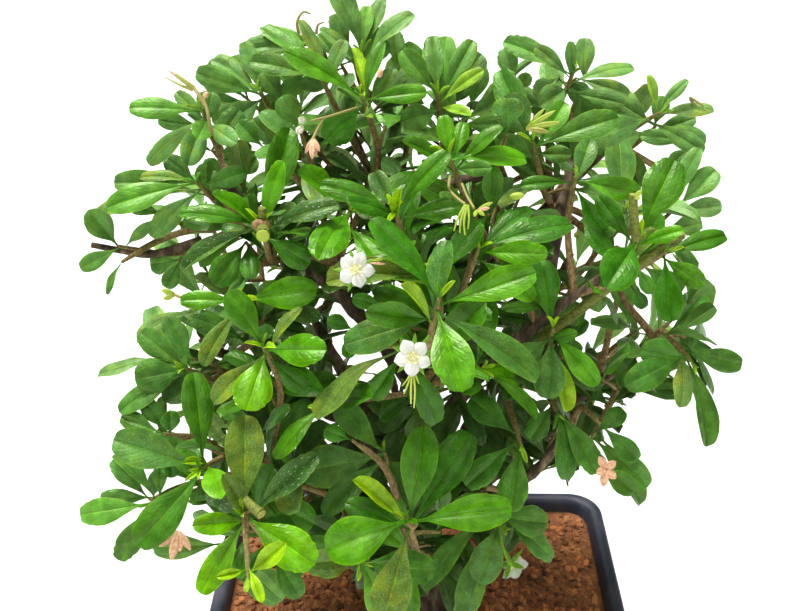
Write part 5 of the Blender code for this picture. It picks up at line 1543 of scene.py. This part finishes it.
def as_packed(name, blades):
    """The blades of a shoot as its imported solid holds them: nudged alike, or left out alike."""
    mesh = frame["nodes"][name].data
    corners = KDTree(len(mesh.vertices))
    for number, corner in enumerate(mesh.vertices):
        corners.insert(corner.co, number)
    corners.balance()
    kept = []
    for blade in blades:
        trials = [nudged(blade, raised, aside) for raised, aside in NUDGES]
        found = [trial for trial in trials if corners.find(trial.tip)[2] < TIP_TOLERANCE]
        kept += found[:1]
    return kept


def make_shoots(looks, wood, plan):
    skin = leaf_skin(looks)
    draw = random.Random(LEAF_SEED)
    for name, blades in plan.blades.items():
        rows, columns = (10, 4) if "crown" in name else (16, 8)
        piece = grown_blades(name.replace("shoot", "leaves"), blades, draw, looks, skin, rows, columns,
                             LEAF_FORM, looks.thickness)
        declare(piece, "foliage", name)

    tubes = []
    for foot, seat in [stem for stems in plan.stems.values() for stem in stems]:
        way = (seat - foot).normalized()
        middle = foot.lerp(seat, 0.5) + way.cross(VIEW_RIGHT) * 0.0002
        line = smooth_line([foot, middle, seat + way * 0.0012], 6)
        shares = shares_of(line)
        tubes.append(Tube(line, [STEM_RADIUS * (1.15 - 0.55 * share ** 2) for share in shares],
                          [0.2 + 0.8 * share ** 3 for share in shares]))
    stems = grown_tubes("young_stems", tubes, twig_skin(wood), 10, 0.30, 0.35, 0.0023, 1600.0)
    declare(stems, "foliage")

    buds = [bud for spray in plan.sprays if spray.blades for bud in bud_blades(*spray.stem, draw)]
    piece = grown_blades("leaf_buds", buds, draw, looks, skin, 6, 4, BUD_FORM, looks.thickness, 0.04)
    declare(piece, "foliage")


def bud_blades(foot, seat, draw):
    """The small new leaves that close the end of a stem."""
    way = (seat - foot).normalized()
    first = way.orthogonal().normalized()
    spin = draw.uniform(0, 2 * math.pi)
    blades = []
    for order in range(draw.choice((2, 3, 3, 4))):
        spin += LEAF_TURN
        aside = Matrix.Rotation(spin, 3, way) @ first
        lean = math.radians(draw.uniform(12, 30) + 10 * order)
        length = draw.uniform(0.0030, 0.0050) + 0.0010 * order
        base = seat + way * (0.0009 - 0.0004 * order)
        tip = base + (way * math.cos(lean) + aside * math.sin(lean)) * length
        blades.append(Blade(base, tip, way * 0.3 - aside, length * draw.uniform(0.34, 0.46), 0.5, 0.6,
                            draw.choice("YYYB")))
    return blades


# Where light shows through the crown in the reference view: a pixel and how far round it
GAPS = ((340, 238, 13), (348, 314, 11), (388, 368, 17), (320, 430, 8), (257, 264, 14), (602, 335, 16),
        (556, 200, 12), (480, 313, 10), (571, 256, 12), (304, 92, 8), (653, 153, 8), (650, 318, 16),
        (345, 222, 8), (140, 300, 30), (165, 330, 12), (130, 238, 8), (190, 345, 8), (556, 300, 6),
        (690, 215, 8), (620, 66, 12), (585, 56, 10), (495, 66, 10), (545, 80, 7), (575, 100, 7),
        (650, 440, 30), (600, 520, 40), (560, 520, 22), (240, 598, 16), (440, 20, 16), (300, 8, 16),
        (135, 140, 10), (150, 70, 24), (655, 322, 13), (604, 326, 8), (548, 478, 12), (204, 545, 13),
        (193, 530, 9), (262, 262, 11), (150, 316, 9), (542, 199, 9), (577, 207, 8), (368, 6, 14))

# Outline of the outer part of a leaf, as shares of the length and of the half width
OUTER_EDGE = ((0.25, 0.42), (0.48, 0.86), (0.72, 1.0), (0.92, 0.72))


def outer_sheet(blade):
    """A flat fan over the outer part of a blade, used only to keep leaves apart."""
    axis, up = frame_of(blade)
    side = up.cross(axis)
    chord = blade.tip - blade.base
    rise = chord.length * math.tan(blade.arch / 4) * 2

    def place(along, across):
        bow = up * (rise * along * (1 - along))
        return blade.base + chord * along + bow + side * (across * blade.width / 2)

    points = [place(along, across) for along, across in OUTER_EDGE] + [blade.tip]
    points += [place(along, -across) for along, across in reversed(OUTER_EDGE)] + [place(0.6, 0.0)]
    last = len(points) - 1
    return points, [(corner, (corner + 1) % last, last) for corner in range(last)]


def solid_tree(names):
    """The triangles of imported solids, for asking what a leaf would cross or hide."""
    points = []
    faces = []
    for name in names:
        mesh = frame["nodes"][name].data
        faces += [[corner + len(points) for corner in face.vertices] for face in mesh.polygons]
        points += [corner.co.copy() for corner in mesh.vertices]
    return BVHTree.FromPolygons(points, faces)


class Thicket:
    """Tufts of inner leaves that cross nothing, hide no shown leaf and keep the gaps open."""

    def __init__(self, plan):
        shown = {name for name, *_ in SHOWN_SHOOTS} | {flower.name for flower in FLOWERS}
        self.solids = solid_tree(frame["nodes"])
        self.shown = solid_tree(shown)
        self.placed = []
        self.sprigs = []
        self.tufts = []
        self.stems = []
        self.draw = random.Random(INNER_SEED)
        lowest, highest = CAD_BOX
        self.low = Vector(lowest) + Vector((MM, MM, SOIL_LEVEL + 12 * MM))
        self.high = Vector(highest) - Vector((MM, MM, 4 * MM))
        for marks in SPRIGS:
            self.place_sprig(shown_spray("sprig", *marks))
        for reach in (0.0, 1.0, 1.0):
            self.grow_along(branch_tubes(6), BRANCH_TUFT_STEP, 0.22, reach)
            self.grow_along(plan.twigs, TWIG_TUFT_STEP, 0.20, reach)

    def place_sprig(self, spray):
        """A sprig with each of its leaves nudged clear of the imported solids, or left out."""
        kept = []
        for blade in spray.blades:
            trials = (nudged(blade, raised, aside) for raised, aside in NUDGES)
            kept += [trial for trial in trials if self.clear(trial)][:1]
        self.sprigs.append(spray._replace(blades=kept))
        self.hold(kept)

    def hold(self, blades):
        for blade in blades:
            middle = blade.base.lerp(blade.tip, 0.6)
            self.placed.append((middle, blade.width + (blade.tip - blade.base).length / 2,
                                BVHTree.FromPolygons(*outer_sheet(blade))))

    def grow_along(self, tubes, step, start, reach):
        for tube in tubes:
            lengths = [0.0]
            for place, after in zip(tube.points, tube.points[1:]):
                lengths.append(lengths[-1] + (after - place).length)
            at = lengths[-1] * start + self.draw.uniform(0, step)
            while at < lengths[-1]:
                number = max(index for index, value in enumerate(lengths) if value <= at)
                number = min(number, len(tube.points) - 2)
                self.try_tuft(tube.points[number], tube.points[number + 1] - tube.points[number], reach)
                at += step * self.draw.uniform(0.7, 1.3)

    def try_tuft(self, foot, run, reach):
        draw = self.draw
        run = run.normalized()
        sideways = Matrix.Rotation(draw.uniform(0, 2 * math.pi), 3, run) @ run.orthogonal().normalized()
        outward = (foot - CROWN_MIDDLE).normalized()
        way = (sideways + run * 0.5 + outward * 0.5 + UP * 0.25).normalized()
        stem = 0.0012 + reach * draw.uniform(0.003, 0.013)
        seat = foot + way * stem
        if reach:
            hit = self.solids.ray_cast(foot + way * 0.0045, way, max(stem - 0.004, 0.0005))
            if hit[0] is not None:
                return
        kept = [blade for blade in self.tuft_blades(seat, way) if self.fits(blade)]
        if len(kept) < (2 if reach else 1):
            return
        self.hold(kept)
        self.tufts.append(kept)
        self.stems.append((foot, seat))

    def tuft_blades(self, seat, way):
        draw = self.draw
        spin = draw.uniform(0, 2 * math.pi)
        first = way.orthogonal().normalized()
        blades = []
        for order in range(draw.choice((3, 4, 4, 5))):
            spin += LEAF_TURN
            lean = math.radians(draw.uniform(38, 72) + 4 * order)
            aside = Matrix.Rotation(spin, 3, way) @ first
            ahead = (way * math.cos(lean) + aside * math.sin(lean) + UP * 0.1).normalized()
            length = draw.uniform(0.0135, 0.0225)
            base = seat - way * min(0.0009 * order, 0.003)
            up = (way * 0.7 + UP * 0.8 - aside * 0.2).normalized()
            age = draw.choice("MMDDDDDMGGBBO")
            blades.append(Blade(base, base + ahead * length, up, length * draw.uniform(0.42, 0.54),
                                AGES[age].arch, AGES[age].fold, age))
        return blades

    def fits(self, blade):
        """Whether a leaf is clear, hides no shown leaf and keeps the gaps open."""
        for place in outer_sheet(blade)[0]:
            ray = place - EYE
            across, down = pixel_of(place)
            if any(math.hypot(across - x, down - y) < reach for x, y, reach in GAPS):
                return False
            hit = self.shown.ray_cast(place, ray.normalized())
            if hit[0] is not None and -10 < across < VIEW_SIZE[0] + 10:
                return False
        return self.clear(blade)

    def clear(self, blade):
        """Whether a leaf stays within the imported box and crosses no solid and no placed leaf."""
        points, faces = outer_sheet(blade)
        for place in points:
            if any(place[axis] < self.low[axis] or place[axis] > self.high[axis] for axis in range(3)):
                return False
        tree = BVHTree.FromPolygons(points, faces)
        if self.solids.overlap(tree):
            return False
        middle = blade.base.lerp(blade.tip, 0.6)
        reach = blade.width + (blade.tip - blade.base).length / 2
        return not any((other - middle).length < far + reach and leaf.overlap(tree)
                       for other, far, leaf in self.placed)


def make_inner(looks, wood, plan):
    thicket = Thicket(plan)
    skin = leaf_skin(looks)
    draw = random.Random(INNER_SEED + 1)
    halves = {"inner_leaves_front": [], "inner_leaves_back": []}
    for tuft in thicket.tufts:
        side = "front" if tuft[0].base.y < CROWN_MIDDLE.y else "back"
        halves[f"inner_leaves_{side}"] += tuft
    for name, blades in halves.items():
        # Inner leaves get painted shade, darker the deeper they stand in the crown
        declare(grown_blades(name, blades, draw, looks, skin, 8, 4, INNER_FORM, looks.thickness,
                             inner=looks.inner_shade), "foliage")
    leaves = [blade for spray in thicket.sprigs for blade in spray.blades]
    declare(grown_blades("sprig_leaves", leaves, draw, looks, skin, 14, 6, LEAF_FORM, looks.thickness),
            "foliage")

    tubes = []
    branches = branch_tubes(2)
    stretches = [(spray.name, *spray.stem) for spray in plan.sprays]
    for spray in thicket.sprigs:
        if spray.blades:
            twig = twig_tube(spray, branches, stretches)
            foot, seat = spray.stem
            line = twig.points + smooth_line([foot, foot.lerp(seat, 0.5), seat], 4)[1:]
            radii = twig.radii + [0.0008 - 0.0004 * step / 8 for step in range(8)]
            tubes.append(Tube(line, radii, [0.5 * share for share in shares_of(line)]))
    for foot, seat in thicket.stems:
        line = [foot, foot.lerp(seat, 0.5) + UP * 0.0003, seat + (seat - foot).normalized() * 0.0005]
        radii = [0.00062, 0.0006, 0.00058, 0.00055, 0.0005, 0.00045, 0.0004]
        tubes.append(Tube(smooth_line(line, 3), radii, 0.3))
    declare(grown_tubes("inner_stems", tubes, twig_skin(wood), 6, 0.25, 0.3, 0.0021), "foliage")


# Flowers

def merged(name, things):
    """Join things into the first, keeping their materials."""
    with bpy.context.temp_override(active_object=things[0], selected_editable_objects=things):
        bpy.ops.object.join()
    things[0].name = name
    things[0].data.name = name
    return things[0]


def ball(name, centre, axis, across, along, material):
    """A small egg of the given half sizes, its length along an axis."""
    work = bmesh.new()
    bmesh.ops.create_uvsphere(work, u_segments=10, v_segments=6, radius=1.0)
    mesh = bpy.data.meshes.new(name)
    work.to_mesh(mesh)
    work.free()
    turn = axis.to_track_quat("Z", "Y").to_matrix().to_4x4()
    mesh.transform(Matrix.Translation(centre) @ turn @ Matrix.Diagonal((across, across, along, 1.0)))
    smooth_faces(mesh)
    mesh.materials.append(material)
    thing = bpy.data.objects.new(name, mesh)
    bpy.context.scene.collection.objects.link(thing)
    return thing


def round_ways(flower, ahead=0.0):
    """The five ways that a flower's petals spread, or the ways that many degrees ahead of them."""
    _, facing, side = flower_frame(flower)
    return [Matrix.Rotation(math.radians(flower.turn + turn * 360 / PETALS + ahead), 3, facing) @ side
            for turn in range(PETALS)]


def bloom_parts(flower, draw, leaf_looks, petal, cream):
    centre, facing, _ = flower_frame(flower)
    petals = []
    for way in round_ways(flower):
        reach = FLOWER_DIAMETER / 2 * draw.uniform(0.94, 1.03)
        tip = centre + way * reach + facing * draw.uniform(-0.0002, 0.0011)
        base = centre + way * 0.0004 - facing * 0.0002
        petals.append(Blade(base, tip, facing, PETAL_WIDTH * draw.uniform(0.86, 0.98), 0.9, 0.3, "Y"))
    throat = Tube([centre + facing * height for height in (-0.0016, -0.0006, 0.0002, 0.0005)],
                  [0.0006, 0.0009, 0.0013, 0.0008], 0.0)
    parts = [grown_blades("petals", petals, draw, leaf_looks, petal, 10, 6, PETAL_FORM, 0.0004, 0.0),
             grown_tubes("throat", [throat], cream, 16)]
    filaments = []
    for way in round_ways(flower, 36):
        foot = centre + way * 0.0005
        head = centre + way * 0.0012 + facing * 0.0019
        line = bezier(foot, foot + facing * 0.0008, head - facing * 0.0004, head, 5)
        filaments.append(Tube(line, [0.00011] * 6, 0.0))
        parts.append(ball("anther", head + facing * 0.0002, (facing + way * 0.5).normalized(),
                          0.00036, 0.00062, cream))
    style = centre + facing * 0.0024
    filaments.append(Tube([centre, centre + facing * 0.0012, style], [0.00016, 0.00013, 0.00012], 0.0))
    parts.append(ball("stigma", style, facing, 0.00025, 0.00025, cream))
    return parts + [grown_tubes("filaments", filaments, cream, 6)]


def calyx_parts(flower, draw, leaf_looks, green):
    centre, facing, _ = flower_frame(flower)
    back = centre - facing * CALYX_BEHIND
    sepals = [Blade(back, back + way * CALYX_REACH - facing * 0.0006, facing, SEPAL_WIDTH, 0.3, 0.25, "Y")
              for way in round_ways(flower, 36)]
    cup = Tube([back + facing * height for height in (-0.0016, -0.0008, 0.0001)],
               [0.0004, 0.0008, 0.0010], 0.0)
    return [grown_blades("calyx", sepals, draw, leaf_looks, green, 8, 4, SEPAL_FORM, 0.0003, 0.0),
            grown_tubes("calyx_cup", [cup], green, 12)]


def make_flowers(looks, leaf_looks, plan):
    petal = petal_skin(looks)
    green = soft_skin("sepal_skin", looks.sepal, tuple(value * 0.7 for value in looks.sepal))
    cream = soft_skin("anther_skin", looks.anther, looks.throat, 0.6)
    draw = random.Random(FLOWER_SEED)
    green_parts = []
    for flower in FLOWERS:
        bloom = merged(flower.name.replace("flower", "bloom"),
                       bloom_parts(flower, draw, leaf_looks, petal, cream))
        declare(bloom, "petals", flower.name)
        green_parts += calyx_parts(flower, draw, leaf_looks, green)
    stalks = [Tube(line, [STALK_RADIUS] * len(line), 0.9)
              for lines in plan.stalks.values() for line in lines]
    green_parts.append(grown_tubes("stalks", stalks, green, 8, relief=0.2))
    declare(merged("calyces_and_stalks", green_parts), "foliage")


# Small parts of the reference view

def make_details(looks, wood, leaf_looks):
    """Buds, spent flowers, cut stubs and the few branches that show between the leaves."""
    skins = {"strand": soft_skin("strand_skin", looks.strand, looks.lime),
             "lime": soft_skin("lime_skin", looks.lime, looks.strand),
             "bud": soft_skin("bud_skin", looks.bud, looks.strand),
             "stalk": soft_skin("stalk_skin", looks.stalk, wood.twig),
             "dried": soft_skin("dried_skin", looks.dried, looks.dried_dark, 0.7),
             "stub": soft_skin("stub_skin", looks.stub, looks.stub_dark, 0.6),
             "cut": soft_skin("cut_skin", looks.cut, looks.stub, 0.75),
             "white": soft_skin("white_skin", (0.9, 0.9, 0.8), looks.strand),
             "twig": twig_skin(wood), "bark": bark_skin(wood)}
    things = []
    draw = random.Random(DETAIL_SEED)
    for kind, skin in skins.items():
        tubes = []
        for _, knots, first, last in [line for line in LINES if line[0] == kind]:
            line = smooth_line([seen_at(mark) for mark in knots], 5)
            radii = [(first + (last - first) * share) * MM for share in shares_of(line)]
            tubes.append(Tube(line, radii, 0.15 if kind == "twig" else 0.0))
        if tubes:
            rings, relief = (0.25, 0.5) if kind in ("twig", "bark") else (0.0, 0.25)
            things.append(grown_tubes(kind, tubes, skin, 10, rings, relief))
        blades = []
        for _, base, tip, wide in [scale for scale in SCALES if scale[0] == kind]:
            foot = seen_at(base)
            width = wide * base[2] * MM / VIEW_SCALE
            blades.append(Blade(foot, seen_at(tip), EYE - foot, width, 0.6, 0.5, "Y"))
        if blades:
            things.append(grown_blades(kind, blades, draw, leaf_looks, skin, 6, 4, SCALE_FORM, teeth=0.0))
        for _, centre, (right, up, ahead), across, along in [egg for egg in EGGS if egg[0] == kind]:
            way = VIEW_RIGHT * right + VIEW_UP * up + VIEW_AHEAD * ahead
            things.append(ball(kind, seen_at(centre), way, across * MM, along * MM, skin))
    declare(merged("buds_stubs_and_spent_flowers", things), "foliage")


# Stage

def make_stage(looks):
    scene = bpy.context.scene
    scene.view_settings.view_transform = "Standard"
    size = 40.0
    floor = mesh_object("floor", [(-size, -size, 0), (size, -size, 0), (size, size, 0), (-size, size, 0)],
                        [(0, 1, 2, 3)])
    shader = Shader("floor_paint")
    grain = shader.noise(3.0, 2.0)
    floor.data.materials.append(shader.finish(
        base_color=shader.mix(grain * 0.06, looks.floor[:], tuple(value * 0.93 for value in looks.floor)),
        roughness=0.85 + grain * 0.05))

    world = bpy.data.worlds.new("soft_sky")
    world.use_nodes = True
    world.node_tree.nodes.clear()
    sky = Graph(world.node_tree)
    height = sky.split(sky.add("ShaderNodeTexCoord").out("Generated"))
    overhead = height.out("Z").between(0.05, 0.85)
    strength = looks.sky_strength * (0.24 + overhead ** 2 * 2.1)
    dome = sky.add("ShaderNodeBackground", {"Color": looks.sky[:], "Strength": strength})
    plain = sky.add("ShaderNodeBackground", {"Color": (1.0, 1.0, 1.0), "Strength": 1.0})
    seen = sky.add("ShaderNodeLightPath").out("Is Camera Ray")
    both = sky.tree.nodes.new("ShaderNodeMixShader")
    for socket, value in zip(both.inputs, (seen, dome, plain)):
        sky.feed(socket, value)
    last = sky.tree.nodes.new("ShaderNodeOutputWorld")
    sky.tree.links.new(both.outputs[0], last.inputs["Surface"])
    scene.world = world

    for name, way, spread, share in (("high_lamp", (-0.30, 0.22, 1.0), 24.0, 1.0),
                                     ("front_lamp", (0.10, -0.70, 1.1), 58.0, 0.22)):
        lamp = bpy.data.lights.new(name, "SUN")
        lamp.angle = math.radians(spread)
        lamp.energy = looks.lamp_strength * share
        thing = bpy.data.objects.new(name, lamp)
        scene.collection.objects.link(thing)
        thing.matrix_world = Vector(way).to_track_quat("Z", "Y").to_matrix().to_4x4()

    camera = bpy.data.cameras.new("reference_view")
    camera.sensor_width = 36.0
    camera.lens = VIEW_SCALE * camera.sensor_width / VIEW_SIZE[0]
    camera.clip_start = 0.01
    thing = bpy.data.objects.new("reference_view", camera)
    scene.collection.objects.link(thing)
    turn = Matrix((VIEW_RIGHT, VIEW_UP, -VIEW_AHEAD)).transposed().to_4x4()
    thing.matrix_world = Matrix.Translation(EYE) @ turn
    scene.camera = thing


# Operators, panel and run

PLANS = []


def tree_plan():
    if not PLANS:
        PLANS.append(Plan())
    return PLANS[0]


class TEATREE_OT_stage(bpy.types.Operator):
    """Make the floor, the light and the camera"""
    bl_idname = "teatree.stage"
    bl_label = "Stage"

    def execute(self, context):
        make_stage(context.scene.tea_tree.stage)
        return {"FINISHED"}


class TEATREE_OT_pot(bpy.types.Operator):
    """Make the square nursery pot"""
    bl_idname = "teatree.pot"
    bl_label = "Pot"

    def execute(self, context):
        make_pot(context.scene.tea_tree.pot)
        return {"FINISHED"}


class TEATREE_OT_soil(bpy.types.Operator):
    """Make the soil and its crumbs"""
    bl_idname = "teatree.soil"
    bl_label = "Soil"

    def execute(self, context):
        make_soil(context.scene.tea_tree.soil)
        return {"FINISHED"}


class TEATREE_OT_wood(bpy.types.Operator):
    """Make the trunk, branches and twigs"""
    bl_idname = "teatree.wood"
    bl_label = "Wood"

    def execute(self, context):
        make_wood(context.scene.tea_tree.wood, tree_plan())
        return {"FINISHED"}


class TEATREE_OT_shoots(bpy.types.Operator):
    """Make the leaves and stems of the shoots"""
    bl_idname = "teatree.shoots"
    bl_label = "Shoots"

    def execute(self, context):
        looks = context.scene.tea_tree
        make_shoots(looks.leaf, looks.wood, tree_plan())
        return {"FINISHED"}


class TEATREE_OT_inner(bpy.types.Operator):
    """Make the leaves inside the crown"""
    bl_idname = "teatree.inner"
    bl_label = "Inner Leaves"

    def execute(self, context):
        looks = context.scene.tea_tree
        make_inner(looks.leaf, looks.wood, tree_plan())
        return {"FINISHED"}


class TEATREE_OT_flowers(bpy.types.Operator):
    """Make the flowers, their calyces and stalks"""
    bl_idname = "teatree.flowers"
    bl_label = "Flowers"

    def execute(self, context):
        looks = context.scene.tea_tree
        make_flowers(looks.flower, looks.leaf, tree_plan())
        return {"FINISHED"}


class TEATREE_OT_details(bpy.types.Operator):
    """Make the buds, spent flowers and clipped stubs"""
    bl_idname = "teatree.details"
    bl_label = "Details"

    def execute(self, context):
        looks = context.scene.tea_tree
        make_details(looks.detail, looks.wood, looks.leaf)
        return {"FINISHED"}


class TEATREE_PT_panel(bpy.types.Panel):
    """The tree's pieces, in the order in which they are made"""
    bl_idname = "TEATREE_PT_panel"
    bl_label = "Potted Fukien Tea Tree"
    bl_space_type = "VIEW_3D"
    bl_region_type = "UI"
    bl_category = "Tea Tree"

    def draw(self, context):
        for operator in OPERATORS:
            self.layout.operator(operator.bl_idname)
        for title in TeaTreeLooks.__annotations__:
            box = self.layout.box()
            box.label(text=title.title())
            settings = getattr(context.scene.tea_tree, title)
            for name in settings.__annotations__:
                box.prop(settings, name)


OPERATORS = (TEATREE_OT_stage, TEATREE_OT_pot, TEATREE_OT_soil, TEATREE_OT_wood, TEATREE_OT_shoots,
             TEATREE_OT_inner, TEATREE_OT_flowers, TEATREE_OT_details)
CLASSES = (TeaTreeLeafLooks, TeaTreeWoodLooks, TeaTreeFlowerLooks, TeaTreePotLooks, TeaTreeSoilLooks,
           TeaTreeDetailLooks, TeaTreeStageLooks, TeaTreeLooks) + OPERATORS + (TEATREE_PT_panel,)


def register():
    for kind in CLASSES:
        bpy.utils.register_class(kind)
    bpy.types.Scene.tea_tree = group(TeaTreeLooks, "Tea tree", "Looks of the whole tree")


def unregister():
    del bpy.types.Scene.tea_tree
    for kind in reversed(CLASSES):
        bpy.utils.unregister_class(kind)


def main():
    register()
    for operator in OPERATORS:
        family, name = operator.bl_idname.split(".")
        getattr(getattr(bpy.ops, family), name)()


if __name__ == "__main__":
    main()
